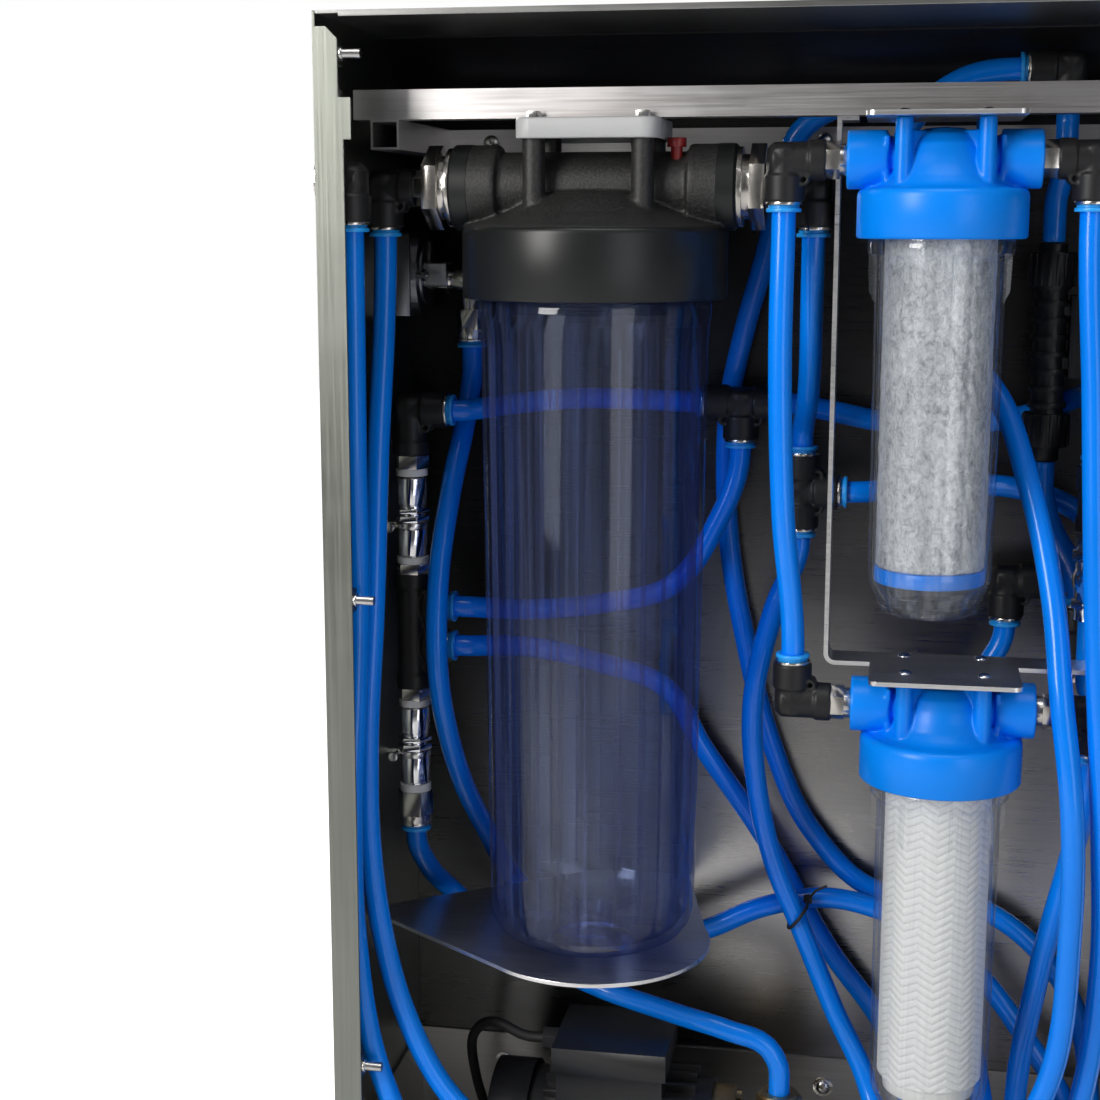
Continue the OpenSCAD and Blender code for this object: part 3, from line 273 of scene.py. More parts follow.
# ---------------------------------------------------------------- shader kit
class Nodes:
    """The node tree of a material or the world."""

    def __init__(self, owner, output):
        owner.use_nodes = True
        self.tree = owner.node_tree
        self.tree.nodes.clear()
        self.output = self.node(output)
        self.coords = self.node("TexCoord").outputs

    def feed(self, socket, value):
        if isinstance(value, bpy.types.NodeSocket):
            self.tree.links.new(value, socket)
        else:
            socket.default_value = (*value[:3], 1) if socket.type == "RGBA" else value

    def node(self, kind, inputs={}, **settings):
        node = self.tree.nodes.new("ShaderNode" + kind)
        for key, value in settings.items():
            setattr(node, key, value)
        for key, value in inputs.items():
            self.feed(node.inputs[key], value)
        return node

    def surface(self, shader):
        self.feed(self.output.inputs["Surface"], shader)

    def noise(self, scale, detail=3, roughness=0.55, distortion=0):
        """Scale is one number, or one for each axis."""
        scale = scale if hasattr(scale, "__len__") else (scale,) * 3
        place = self.node("Mapping", {"Vector": self.coords["Object"], "Scale": scale})
        return self.node("TexNoise", {
            "Vector": place.outputs[0], "Scale": 1, "Detail": detail,
            "Roughness": roughness, "Distortion": distortion}).outputs["Fac"]

    def ramp(self, factor, stops):
        """Stops are (position, grey or colour)."""
        node = self.node("ValToRGB", {0: factor})
        elements = node.color_ramp.elements
        while len(elements) < len(stops):
            elements.new(0.5)
        for element, (position, tone) in zip(elements, stops):
            element.position = position
            element.color = (*tone, 1) if hasattr(tone, "__len__") else (tone, tone, tone, 1)
        return node.outputs[0]

    def math(self, operation, a, b=0.0, clamp=False):
        return self.node("Math", {0: a, 1: b}, operation=operation, use_clamp=clamp).outputs[0]

    def add(self, a, b, clamp=False):
        return self.math("ADD", a, b, clamp)

    def mul(self, a, b, clamp=False):
        return self.math("MULTIPLY", a, b, clamp)

    def mix(self, factor, a, b, blend="MIX"):
        return self.node("Mix", {0: factor, 6: a, 7: b},
                         data_type="RGBA", blend_type=blend).outputs[2]

    def mix_shader(self, factor, a, b):
        return self.node("MixShader", {0: factor, 1: a, 2: b}).outputs[0]

    def mottle(self, factor, base, vary, low=0.3, high=0.7):
        """Base colour, darker and lighter by the share vary."""
        return self.mix(self.ramp(factor, [(low, 0), (high, 1)]),
                        scaled(base, 1 - vary), scaled(base, 1 + vary))

    def split(self, vector):
        return self.node("SeparateXYZ", {0: vector}).outputs

    def bump(self, height, strength, distance):
        return self.node("Bump", {
            "Height": height, "Strength": strength, "Distance": distance}).outputs[0]

    def principled(self, base, rough, bump, metal=0.0, extras={}):
        self.surface(self.node("BsdfPrincipled", {
            "Base Color": base, "Roughness": rough, "Metallic": metal, "Normal": bump,
            **extras}).outputs[0])


MATERIALS = {}


def new_material(name):
    MATERIALS[name] = bpy.data.materials.new(name)
    return Nodes(MATERIALS[name], "OutputMaterial")


def scaled(colour, factor):
    return tuple(min(1, x * factor) for x in colour)


def brushed(name, base, rough, axis, lines, deep, metal=1.0, blotch=0.16, tones=(),
            plain_rear=False):
    """Metal with fine lines along an axis, slow changes of polish and faint smears; painted
    light and shade darken its colour along the given axes.
    """
    m = new_material(name)
    scale = [lines] * 3
    scale["xyz".index(axis)] = lines / 60
    grain = m.noise(scale, 2, 0.5)
    polish = m.noise(5, 3, 0.5)
    smears = m.noise((22, 22, 30), 4, 0.6, 0.4)
    colour = m.mottle(m.add(m.mul(grain, 0.5), m.mul(polish, 0.5)), base, blotch)
    roughness = m.add(m.mul(grain, 0.16), m.add(m.mul(smears, 0.14), rough - 0.15))
    # painted light and shade: along each axis the colour keeps a given share of itself
    light = None
    for shade_axis, half, stops in tones:
        position = m.split(m.node("NewGeometry").outputs["Position"])["xyz".index(shade_axis)]
        share = m.mul(m.math("SUBTRACT", position, -half), 1.0 / (2 * half), clamp=True)
        tone = m.ramp(share, [((q + half) / (2 * half), value) for q, value in stops])
        light = tone if light is None else m.mul(light, tone)
    # the painted shade is left off the faces towards +Y
    if plain_rear:   # faces towards +Y keep the full colour
        normal = m.split(m.node("NewGeometry").outputs["True Normal"])
        light = m.math("MAXIMUM", light, m.math("GREATER_THAN", normal[1], 0.5))
    if light is not None:
        # painted shade: where the share is low the colour falls towards 2% of the base
        colour = m.mix(light, scaled(base, 0.02), colour)
    m.principled(colour, roughness, m.bump(grain, deep, 0.0004), metal)


def plastic(name, base, rough, grain, deep, vary, extras={}):
    m = new_material(name)
    fine = m.noise(grain, 2, 0.5)
    slow = m.noise(14, 3, 0.5)
    m.principled(m.mottle(slow, base, vary), m.add(m.mul(slow, 0.1), rough - 0.05),
                 m.bump(fine, deep, 0.0003), extras=extras)


def plated(name, base, rough, vary, deep, grain):
    m = new_material(name)
    fine = m.noise(grain, 3, 0.6)
    slow = m.noise(40, 2, 0.5)
    m.principled(m.mottle(slow, base, vary, 0.35, 0.65),
                 m.add(m.mul(fine, 0.12), rough - 0.06), m.bump(fine, deep, 0.0003), metal=1.0)


def clear(name, face, edge, power, rough, gloss=1.0, streak=0.0, milk=0.0, haze=None):
    """Clear moulding: slanting walls take the edge tint, milk lays streaks of haze in it."""
    m = new_material(name)
    facing_away = m.node("LayerWeight", {"Blend": 0.5}).outputs["Facing"]
    slant = m.math("POWER", facing_away, power)
    if streak:
        lines = m.ramp(m.noise((160, 160, 1.5), 2, 0.5), [(0.45, 0), (0.75, 1)])
        slant = m.add(slant, m.mul(lines, streak), clamp=True)
    body = m.node("BsdfTransparent", {0: m.mix(slant, face, edge)}).outputs[0]
    ripple = m.bump(m.noise((30, 30, 8), 2, 0.4), 0.05, 0.001)
    glossy = m.node("BsdfGlossy", {"Roughness": rough, "Normal": ripple}).outputs[0]
    # reflection rises at grazing angles and is weaker on back faces
    fresnel = m.add(m.mul(m.math("POWER", facing_away, 5.0), 0.55), 0.045)
    backfacing = m.node("NewGeometry").outputs["Backfacing"]
    side = m.math("SUBTRACT", 1.0, m.mul(backfacing, 0.75))
    shine = m.mul(m.mul(fresnel, side), gloss, clamp=True)
    if milk:
        diffuse = m.node("BsdfDiffuse", {0: haze}).outputs[0]
        wisps = m.ramp(m.noise((130, 130, 1.2), 2, 0.5),
                       [(0.40, 0.1), (0.49, 0.6), (0.56, 2.4), (0.60, 0.9), (0.72, 1.3)])
        share = m.mul(m.add(wisps, m.mul(slant, 1.2)), milk, clamp=True)
        body = m.mix_shader(share, body, diffuse)
    m.surface(m.mix_shader(shine, body, glossy))


def black_grain():
    m = new_material("black_grain")
    coarse = m.noise(520, 3, 0.65)
    fine = m.noise(1600, 2, 0.5)
    colour = m.mix(m.ramp(coarse, [(0.42, 0), (0.66, 1)]),
                   (0.012, 0.012, 0.012), (0.032, 0.031, 0.03))
    height = m.add(m.mul(coarse, 0.7), m.mul(fine, 0.3))
    m.principled(colour, m.add(m.mul(coarse, 0.2), 0.38), m.bump(height, 0.55, 0.0008))


def carbon_felt():
    m = new_material("carbon_felt")
    clumps = m.noise((230, 230, 170), 6, 0.75, 0.8)
    fine = m.noise((900, 900, 600), 3, 0.8, 0.3)
    slow = m.noise((28, 28, 18), 3, 0.6)
    fibres = m.add(m.mul(clumps, 0.65), m.add(m.mul(fine, 0.2), m.mul(slow, 0.25)))
    colour = m.ramp(fibres, [(0.42, (0.19, 0.21, 0.23)), (0.49, (0.38, 0.40, 0.43)),
                             (0.56, (0.55, 0.57, 0.60)), (0.66, (0.74, 0.76, 0.79))])
    # light and dark upright bands across the width of the cartridge, with painted shade
    # darkening both sides
    x = m.math("SUBTRACT", m.split(m.coords["Object"])[0], UPPER[0] * MM)
    bands_and_painted_shade = m.ramp(m.add(m.mul(x, 14.0), 0.5),
                   [(0.0, 0.62), (0.30, 0.98), (0.46, 0.80), (0.52, 1.05),
                    (0.62, 1.12), (0.80, 1.0), (1.0, 0.7)])
    m.principled(m.mix(1.0, colour, bands_and_painted_shade, "MULTIPLY"), 0.85, m.bump(fibres, 0.5, 0.0012),
                 extras={"Sheen Weight": 0.3})


def white_yarn():
    m = new_material("white_yarn")
    fibres = m.noise(900, 3, 0.7)
    groove_shade = m.node("Attribute", attribute_name="groove_shade").outputs["Fac"]
    # painted shade: low relief in the grooves turns grey, high relief white
    colour = m.mix(m.ramp(groove_shade, [(0.0, 0), (0.55, 1)]),
                   (0.42, 0.43, 0.45), (0.88, 0.88, 0.87))
    flecks = m.mul(m.ramp(fibres, [(0.35, 1), (0.6, 0)]), 0.25)
    m.principled(m.mix(flecks, colour, (0.66, 0.67, 0.69)), 0.9, m.bump(fibres, 0.5, 0.0006),
                 extras={"Sheen Weight": 0.5})


def membrane_wrap():
    m = new_material("membrane_wrap")
    wave = m.math("SINE", m.mul(m.split(m.coords["Object"])[2], 260.0))
    colour = m.mix(m.ramp(wave, [(0.2, 0), (0.8, 1)]), (0.72, 0.73, 0.76), (0.85, 0.86, 0.88))
    m.principled(colour, 0.3, m.bump(wave, 0.2, 0.0005))


def pale_floor():
    m = new_material("pale_floor")
    colour = m.mix(m.noise(3, 3, 0.5), (0.80, 0.80, 0.80), (0.84, 0.84, 0.84))
    seen = m.node("LightPath").outputs["Is Camera Ray"]   # glows only to the camera
    m.principled(colour, 0.8, m.bump(m.noise(60, 2), 0.02, 0.001), extras={
        "Emission Color": (1, 1, 1), "Emission Strength": m.mul(seen, 0.97),
        "Specular IOR Level": 0.0})


# ---------------------------------------------------------------- materials
# Painted light and shade along an axis: axis, half the range (m), (position, share of full
# colour).
BACK_PAINTED_SHADE = (
    # painted shade on the back wall, darkest at the top and at both sides, with a painted
    # reflection lightest low in the middle
    ("z", 0.48, [(-0.47, 0.25), (-0.29, 0.40), (-0.17, 0.80), (-0.08, 0.45), (0.05, 0.34),
                 (0.15, 0.12), (0.30, 0.06)]),
    ("x", 0.38, [(-0.37, 0.25), (-0.27, 0.45), (-0.18, 1.0), (0.16, 1.0), (0.30, 0.55)]))
# painted highlight on the rail, brightest at the left, with painted shade towards the right
RAIL_PAINTED_LIGHT = (
    ("x", 0.38, [(-0.375, 0.75), (-0.33, 1.0), (-0.22, 1.0), (-0.10, 0.62), (0.10, 0.42),
                 (0.30, 0.40)]),)
# name, colour, roughness, line axis, line density, bump strength, options
BRUSHED = (
    ("steel_back", (0.60, 0.585, 0.57), 0.30, "x", 900, 0.025,
     {"blotch": 0.10, "tones": BACK_PAINTED_SHADE, "plain_rear": True}),
    # painted shade: the side walls take a darker copy of the cabinet steel
    ("steel_side", (0.27, 0.28, 0.25), 0.34, "z", 520, 0.10, {}),
    ("steel_tray", (0.42, 0.41, 0.39), 0.38, "x", 520, 0.08, {}),
    ("steel_rail", (0.97, 0.90, 0.87), 0.36, "x", 900, 0.06, {"tones": RAIL_PAINTED_LIGHT}),
    ("steel_roof", (0.34, 0.34, 0.33), 0.34, "x", 600, 0.10, {}),
    ("steel_plate", (0.92, 0.90, 0.88), 0.32, "x", 700, 0.12, {}),
    ("dark_sheet", (0.035, 0.035, 0.037), 0.32, "x", 500, 0.05, {"metal": 0.6}),
    ("clamp_steel", (0.72, 0.71, 0.69), 0.3, "z", 700, 0.1, {}))
# name, colour, roughness, colour variation, bump strength, grain density
PLATED = (
    ("bright_steel", (0.74, 0.73, 0.71), 0.24, 0.12, 0.03, 300),
    ("nickel", (0.66, 0.63, 0.58), 0.22, 0.12, 0.03, 300),
    ("chrome", (0.86, 0.86, 0.87), 0.09, 0.04, 0.01, 300),
    ("gauge_grey", (0.20, 0.20, 0.21), 0.35, 0.12, 0.03, 300),
    ("cast_brass", (0.50, 0.38, 0.20), 0.38, 0.18, 0.25, 500))
# name, colour, roughness, grain density, bump strength, colour variation, shader extras
PLASTICS = (
    ("bracket_grey", (0.50, 0.505, 0.51), 0.42, 1400, 0.14, 0.05),
    ("black_plastic", (0.012, 0.012, 0.013), 0.44, 1300, 0.14, 0.12,
     {"Specular IOR Level": 0.35}),
    ("black_skirt", (0.010, 0.011, 0.011), 0.34, 500, 0.06, 0.15, {"Specular IOR Level": 0.4}),
    ("blue_tube", (0.0, 0.225, 0.93), 0.24, 120, 0.03, 0.05,
     {"Coat Weight": 0.35, "Coat Roughness": 0.08, "Specular IOR Level": 0.25}),
    ("blue_cap", (0.0, 0.245, 0.94), 0.34, 700, 0.03, 0.04,
     {"Coat Weight": 0.12, "Coat Roughness": 0.25, "Specular IOR Level": 0.25}),
    ("blue_collar", (0.02, 0.36, 0.93), 0.32, 700, 0.05, 0.05),
    ("blue_end", (0.0, 0.20, 0.80), 0.35, 500, 0.05, 0.05),
    # painted shade: a darkened red for the relief button under the bracket; the rocker switch
    # shares it
    ("red_plastic", (0.22, 0.012, 0.012), 0.35, 700, 0.05, 0.08),
    ("white_plastic", (0.78, 0.78, 0.76), 0.28, 400, 0.03, 0.03, {"Coat Weight": 0.3}),
    ("box_grey", (0.20, 0.21, 0.22), 0.45, 1200, 0.2, 0.05),
    ("motor_black", (0.012, 0.012, 0.013), 0.40, 420, 0.25, 0.15),
    ("rubber", (0.012, 0.012, 0.012), 0.6, 600, 0.1, 0.1),
    ("white_tape", (0.80, 0.80, 0.79), 0.55, 700, 0.6, 0.05))


def make_materials():
    for *row, options in BRUSHED:
        brushed(*row, **options)
    for row in PLATED:
        plated(*row)
    for row in PLASTICS:
        plastic(*row)
    clear("tinted_clear", face=(0.78, 0.82, 0.91), edge=(0.44, 0.51, 0.78), power=2.4,
          rough=0.08, streak=0.20, milk=0.034, haze=(0.22, 0.28, 0.54))
    clear("clear", face=(0.985, 0.99, 0.99), edge=(0.86, 0.88, 0.91), power=3.0,
          rough=0.07, gloss=1.3, milk=0.035, haze=(0.62, 0.66, 0.72))
    clear("lens", face=(0.97, 0.98, 0.98), edge=(0.6, 0.65, 0.68), power=2.0, rough=0.02)
    black_grain()
    carbon_felt()
    white_yarn()
    membrane_wrap()


# ---------------------------------------------------------------- CAD nodes that stay
# node, material, bevel width (mm)
FINISHES = (
    ("back_panel", "steel_back", 0.3), ("left_side_panel", "steel_side", 0.5),
    ("right_side_panel", "steel_side", 0.5), ("roof_panel", "steel_roof", 0.5),
    ("roof_baffle", "dark_sheet", 0.4), ("floor_tray", "steel_tray", 0.5),
    ("cover_pins", "bright_steel", 0.5), ("support_frame", "steel_rail", 0.9),
    ("filter_shelf", "steel_plate", 0.5), ("large_filter_bracket", "bracket_grey", 1.4),
    ("upper_filter_plate", "steel_plate", 0.7), ("lower_filter_hanger", "steel_plate", 0.6),
    ("screws_and_bolts", "bright_steel", 0.3), ("large_filter_oring", "rubber", 0),
    ("relief_button", "red_plastic", 0.6), ("upper_filter_oring", "rubber", 0),
    ("lower_filter_oring", "rubber", 0), ("nickel_fittings", "nickel", 0.35),
    ("collars_down", "blue_collar", 0.4), ("collars_up", "blue_collar", 0.4),
    ("collars_right", "blue_collar", 0.4), ("collars_left", "blue_collar", 0.4),
    ("gauge_case", "gauge_grey", 0.5), ("gauge_dial", "white_plastic", 0),
    ("gauge_needle", "black_plastic", 0.1), ("gauge_lens", "lens", 0.2),
    ("check_valves", "chrome", 0.4), ("pipe_clips", "bright_steel", 0.3),
    ("inline_mixer", "black_plastic", 0.4), ("regulator_body", "chrome", 0.5),
    ("regulator_knob", "blue_cap", 0.7), ("motor_housing", "motor_black", 0.7),
    ("motor_rotor", "bright_steel", 0.3), ("pump_head", "cast_brass", 1.0),
    ("membrane_vessels", "white_plastic", 1.0), ("membrane_elements", "membrane_wrap", 0.3),
    ("solenoid_manifold", "cast_brass", 0.8), ("control_box", "box_grey", 1.2),
    ("rocker_switch", "red_plastic", 0.5), ("lower_end_caps", "white_plastic", 0.8),
    ("upper_end_caps", "blue_end", 0.8))
FLAT_SHADED = (
    "back_panel", "left_side_panel", "right_side_panel", "roof_panel", "roof_baffle",
    "floor_tray", "support_frame", "filter_shelf", "upper_filter_plate",
    "lower_filter_hanger", "control_box", "solenoid_manifold")


def finish_cad_nodes():
    for name, material, bevel in FINISHES:
        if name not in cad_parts:   # the frame may lack a node
            continue
        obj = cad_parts[name]
        mesh = obj.data
        mesh.materials.clear()
        mesh.materials.append(MATERIALS[material])
        flat = name in FLAT_SHADED
        if flat:
            mesh.polygons.foreach_set("use_smooth", [False] * len(mesh.polygons))
        else:
            shade(mesh, 32)
        if bevel:
            weld = obj.modifiers.new("weld", "WELD")
            weld.merge_threshold = 2e-6
            add_bevel(obj, bevel, angle=40, harden=not flat)


# ---------------------------------------------------------------- tubes
def leave(place, direction):
    """The straight start of a tube out of a fitting."""
    place, direction = np.array(place, float), np.array(direction, float)
    return [tuple(place + 8 * direction), tuple(place + 36 * direction)]


def arrive(place, direction):
    return leave(place, direction)[::-1]


# CAD node replaced: tubes, each a list of x, y, z stations (mm)
TUBES = {
    "feed_tubes": [
        leave(FEED_ELBOW, DN) + [
            (-361.5,-220,270), (-362.5,-218,190), (-364.5,-210,100), (-366,-214,20),
            (-367.5,-225,-60), (-366,-226,-160), (-352,-218,-262), (-310,-216,-350),
            (-230,-214,-424), (-120,-208,-440), (-62,-180,-418), (-30,-164,-412),
            (7,-164,-412)],
        leave(LARGE_LEFT, DN) + [
            (-358,-154,280), (-359,-172,187), (-360,-188,70), (-364,-194,-23),
            (-363,-196,-97), (-356,-196,-158), (-341,-194,-221), (-313,-190,-282),
            (-270,-186,-330), (-232,-189,-380), (-180,-190,-408), (-95,-182,-396),
            (-35,-174,-364), (4,-166,-346), (20,-164,-368), (20,-164,-401)]],
    "gauge_line": [[
        (-318,-49,275), (-318,-49,240), (-320,-64,200), (-325,-92,150), (-331,-113,80),
        (-330,-116,0), (-320,-102,-65), (-305,-62,-130), (-290,-31,-178), (-250,-32,-214),
        (-190,-42,-220), (-131,-46,-203), (-91,-44,-184), (-37,-40,-174), (10,-40,-184),
        (70,-44,-220), (120,-56,-280), (160,-62,-345), (190,-84,-410), (212,-108,-436),
        (222,-112,-416), (222,-112,-380)]],
    "pump_lines": [
        [(*MANIFOLD,-96), (*MANIFOLD,-124), (-351,-78,-152), (-336,-55,-182),
         (-300,-50,-214), (-250,-78,-230), (-209,-96,-238), (-150,-106,-250),
         (-108,-112,-258), (-80,-112,-268), (-70,-112,-290), (-70,-112,-318)],
        leave(LINK_TEE, DN) + [
            (-84,-70,60), (-98,-72,-10), (-95,-68,-74), (-80,-66,-139), (-60,-67,-186),
            (-31,-72,-253), (-4,-82,-308), (4,-102,-340), (-14,-112,-356), (-50,-112,-356)]],
    "header_tubes": [
        leave(MANIFOLD_ELBOW, PX) + [(-279,-70,211), (-235,-54,214), (-190,-47,213.5)]
        + arrive(HEADER_TEE, NX),
        leave((*MANIFOLD, HIGH_BRANCH), PX) + [
            (-272,-64,52), (-218,-46,55), (-165,-44,70), (-130,-46,120)]
        + arrive(HEADER_TEE, DN),
        leave(HEADER_TEE, PX) + [
            (-50,-40,207), (-10,-33,199), (40,-31,198), (95,-25,204), (132,-38,220),
            (145,-76,228), (141,-108,212)] + arrive(RIGHT_ELBOW, UP)],
    "filter_link_tubes": [
        leave(UPPER_LEFT, DN) + [(-77,-182.5,260), (-73,-178,150)] + arrive(LOWER_LEFT, UP),
        leave(LARGE_RIGHT, DN) + [(-58.5,-138,290), (-61,-100,225)] + arrive(LINK_TEE, UP),
        leave(LINK_TEE, PX) + [
            (10,-57,152), (60,-47,155), (98,-38,150), (134,-30,135), (158,-31,108),
            (150,-37,86)] + arrive(REAR_ELBOW, PX)],
    "reject_tubes": [
        leave((*MANIFOLD, LOW_BRANCH), PX) + [
            (-272,-62,22), (-220,-38,6), (-170,-28,-14), (-140,-24,-62), (-94,-20,-129),
            (-37,-20,-225), (10,-24,-290), (34,-50,-360), (54,-96,-416), (60,-110,-436),
            (60,-110,-464)],
        [(324,-112,376), (324,-112,404), (314,-100,428), (280,-60,432), (150,-42,431),
         (30,-42,431), (-40,-42,430), (-74,-40,410), (-88,-36,370), (-97,-32,325),
         (-112,-24,270), (-124,-16,212), (-126,-16,150), (-122,-18,97), (-109,-18,26),
         (-88,-16,-55), (-55,-16,-126), (-5,-16,-173), (60,-18,-176), (110,-24,-200),
         (150,-34,-250), (160,-80,-310), (151,-140,-350), (148,-164,-374),
         (148,-164,-401)]],
    "product_tubes": [
        leave(UPPER_RIGHT, DN) + [
            (127,-186,230), (135,-194,80), (146,-192,-60), (152,-174,-160), (140,-158,-290),
            (122,-160,-346), (116,-164,-372), (116,-164,-401)],
        leave(LOWER_RIGHT, DN) + [
            (132,-156,-80), (114,-130,-190), (104,-106,-300), (110,-106,-390),
            (120,-110,-430), (120,-110,-464)],
        leave(REAR_ELBOW, DN) + [
            (70,-40,10), (40,-42,-40), (20,-50,-110), (34,-62,-170), (70,-78,-260),
            (84,-124,-330), (85,-156,-352), (84,-164,-372), (84,-164,-401)],
        [(222,-112,374), (222,-112,402), (206,-114,424), (180,-119,406), (164,-122,372),
         (163.5,-122,200), (163,-121,80), (158,-118,34), (148,-113,10), (139,-112,28),
         (139,-112,76)],
        leave(TOP_ELBOW, NX) + [
            (40,-66,444), (8,-66,418), (-6,-72,370), (6,-86,305), (44,-106,258),
            (70,-122,226), (91,-148,170), (108,-176,96), (115,-196,31), (124,-204,-38),
            (128,-196,-130), (116,-178,-260), (82,-170,-326), (56,-164,-350),
            (52,-164,-372), (52,-164,-401)]],
    "mixer_hoses": [
        [(112,-68,420), (112,-68,398), (110,-64,376), (107,-60,357), (107,-60,331)],
        [(107,-60,175), (107,-60,156), (114,-60,128), (130,-60,98)]
        + arrive(MIXER_ELBOW, UP)]}
POWER_CABLE = [
    (-242,-112,-275), (-262,-112,-275), (-290,-106,-268), (-312,-84,-288), (-318,-60,-330),
    (-300,-32,-400), (-220,-20,-450), (0,-20,-456), (200,-20,-456), (300,-30,-456),
    (350,-90,-455), (366,-168,-430), (366,-194,-330), (360,-200,-200), (350,-200,-134),
    (350,-200,-82)]


def tubes():
    for name, paths in TUBES.items():
        shape = Shape()
        for path in paths:
            shape.sweep(smooth(path), radius=8.0, sides=24, bore=5.5, bore_depth=12)
        piece(name + "_smooth", shape, "blue_tube", 50, name)


def power_cable():
    shape = Shape().sweep(smooth(POWER_CABLE), radius=4.0, sides=16)
    piece("power_cable_smooth", shape, "rubber", 50, "power_cable")


# ---------------------------------------------------------------- push-in fittings
MOUTH = 27            # length of a push-in arm
FITTING_SIDES = 48
FITTING_VOXEL = 0.85
# Profiles are (radius, height) points.
PUSH_ARM = [(0, -10), (9.4, -10), (11.9, -7), (11.9, MOUTH - 18.6), (12.3, MOUTH - 18),
            (13.5, MOUTH - 17), (13.5, MOUTH - 0.8), (13.0, MOUTH), (8.4, MOUTH),
            (8.4, MOUTH - 4), (0, MOUTH - 4)]
# place, first arm, second arm, its length, whether it is a push-in arm too
ELBOWS = (
    (FEED_ELBOW, DN, NX, 12, False), (LARGE_LEFT, DN, PX, 23, False),
    (LARGE_RIGHT, DN, NX, 23, False), (UPPER_LEFT, DN, PX, 27, False),
    (LOWER_LEFT, UP, PX, 27, False), (UPPER_RIGHT, DN, NX, 23, False),
    (LOWER_RIGHT, DN, NX, 27, False), (MANIFOLD_ELBOW, PX, DN, 34, False),
    (REAR_ELBOW, DN, PX, 27, True), (TOP_ELBOW, NX, DN, 23, False),
    (MIXER_ELBOW, UP, DN, 20, False), (RIGHT_ELBOW, UP, DN, 20, False))
# place, arms, the arm that branches off the straight run
TEES = ((HEADER_TEE, (NX, PX, DN), DN), (LINK_TEE, (UP, PX, DN), PX))


def thread_arm(length):
    neck = max(length - 11, 1.5)
    return [(0, -10), (9.4, -10), (11.9, -7), (11.9, neck - 0.6), (13.2, neck + 0.6),
            (13.2, length - 0.6), (12.6, length), (0, length)]


def add_eyelet(shape, centre, axis):
    shape.lathe([(1.9, -8.5), (4.3, -8.5), (4.3, 8.5), (1.9, 8.5)], 28, centre, axis,
                closed=True)


def add_web(shape, centre, axis):
    shape.box((-1.6, -1.6, -8), (1.6, 1.6, 8), facing(axis), centre)


@functools.cache
def elbow(first, second, length, push):
    shape = Shape().lathe(PUSH_ARM, FITTING_SIDES, axis=first)
    shape.lathe(PUSH_ARM if push else thread_arm(length), FITTING_SIDES, axis=second)
    a, b = np.array(first, float), np.array(second, float)
    if abs(a @ b) < 0.5:   # a corner, not a straight coupling
        normal = np.cross(a, b)
        add_eyelet(shape, (a + b) * 12.6, normal)
        add_web(shape, (a + b) * 10.4, normal)
    return moulded(shape, FITTING_VOXEL)


def manifold():
    """Upright body with two mouths to the right."""
    shape = Shape().lathe(
        [(0, -6), (12.6, -6), (13.2, -5.4), (13.2, 4.4), (12.6, 5), (11.8, 6), (11.8, 71),
         (13.2, 72.2), (13.2, 82.4), (12.6, 83), (0, 83)], FITTING_SIDES)
    for z in (HIGH_BRANCH, LOW_BRANCH):
        shape.lathe([(0, 0)] + PUSH_ARM[3:], FITTING_SIDES, (0, 0, z), PX)
    for z in (44, 12):
        add_eyelet(shape, (13.6, 0, z), PY)
    return moulded(shape, FITTING_VOXEL)


def elbow_fittings():
    shape = Shape()
    for place, *arms in ELBOWS:
        shape.join(elbow(*arms), place)
    shape.join(manifold(), (*MANIFOLD, 0))
    piece("elbow_fittings_moulded", shape, "black_plastic", 60,
          "elbow_fittings")


def tee_fittings():
    shape = Shape()
    for place, arms, branch in TEES:
        tee = Shape()
        for arm in arms:
            tee.lathe(PUSH_ARM, FITTING_SIDES, axis=arm)
        for arm in arms:
            if arm != branch:
                corner = (np.array(arm, float) + np.array(branch, float)) * 12.4
                add_eyelet(tee, corner, PY)
                add_web(tee, corner * 0.84, PY)
        shape.join(moulded(tee, FITTING_VOXEL), place)
    piece("tee_fittings_moulded", shape, "black_plastic", 60,
          "tee_fittings")


# ---------------------------------------------------------------- large filter
def large_cap_skirt():
    profile = [(76.2, 293), (89.6, 293), (91.2, 293.5), (92, 295), (92, 337.5),
               (91.6, 339.6), (90.6, 341.2), (88.6, 342.2), (84, 343), (60, 343),
               (60, 333), (76.2, 333)]
    piece("large_cap_skirt", Shape().lathe(profile, 160, LARGE, closed=True),
          "black_skirt", 40)


def large_cap_head():
    dome = [(0, 338), (89.8, 338), (90.4, 341.4), (88.4, 342.6), (78, 345.4), (60, 352),
            (46, 360), (36, 365), (0, 367)]
    port = [(15, -1), (28.2, -1), (29, 0.2), (29, 31), (28, 32), (15, 32)]
    shape = Shape().lathe(dome, 144)
    for s in (-1, 1):
        face, inward = (s * LARGE_PORT_FACE, 0, LARGE_PORT_Z), (-s, 0, 0)
        shape.lathe(port, 96, face, inward, closed=True)
        shape.lathe([(0, 12), (24, 12), (24, 70), (0, 70)], 80, face, inward)
    shape.lathe([(0, 0), (24, 0), (24, 80), (0, 80)], 80, (-40, 0, LARGE_PORT_Z), PX)
    for i in (-1, 1):   # four posts, joined front to rear by webs
        for j in (-1, 1):
            post = [(0, 340), (7.9, 340), (7.7, 411), (0, 411)]
            shape.lathe(post, 40, (i * 37, j * 32, 0))
        shape.box((i * 37 - 3, -32, 352), (i * 37 + 3, 32, 382))
    piece("large_cap_head", Shape().join(moulded(shape, 1.5), LARGE), "black_grain", 60,
          "large_filter_cap")


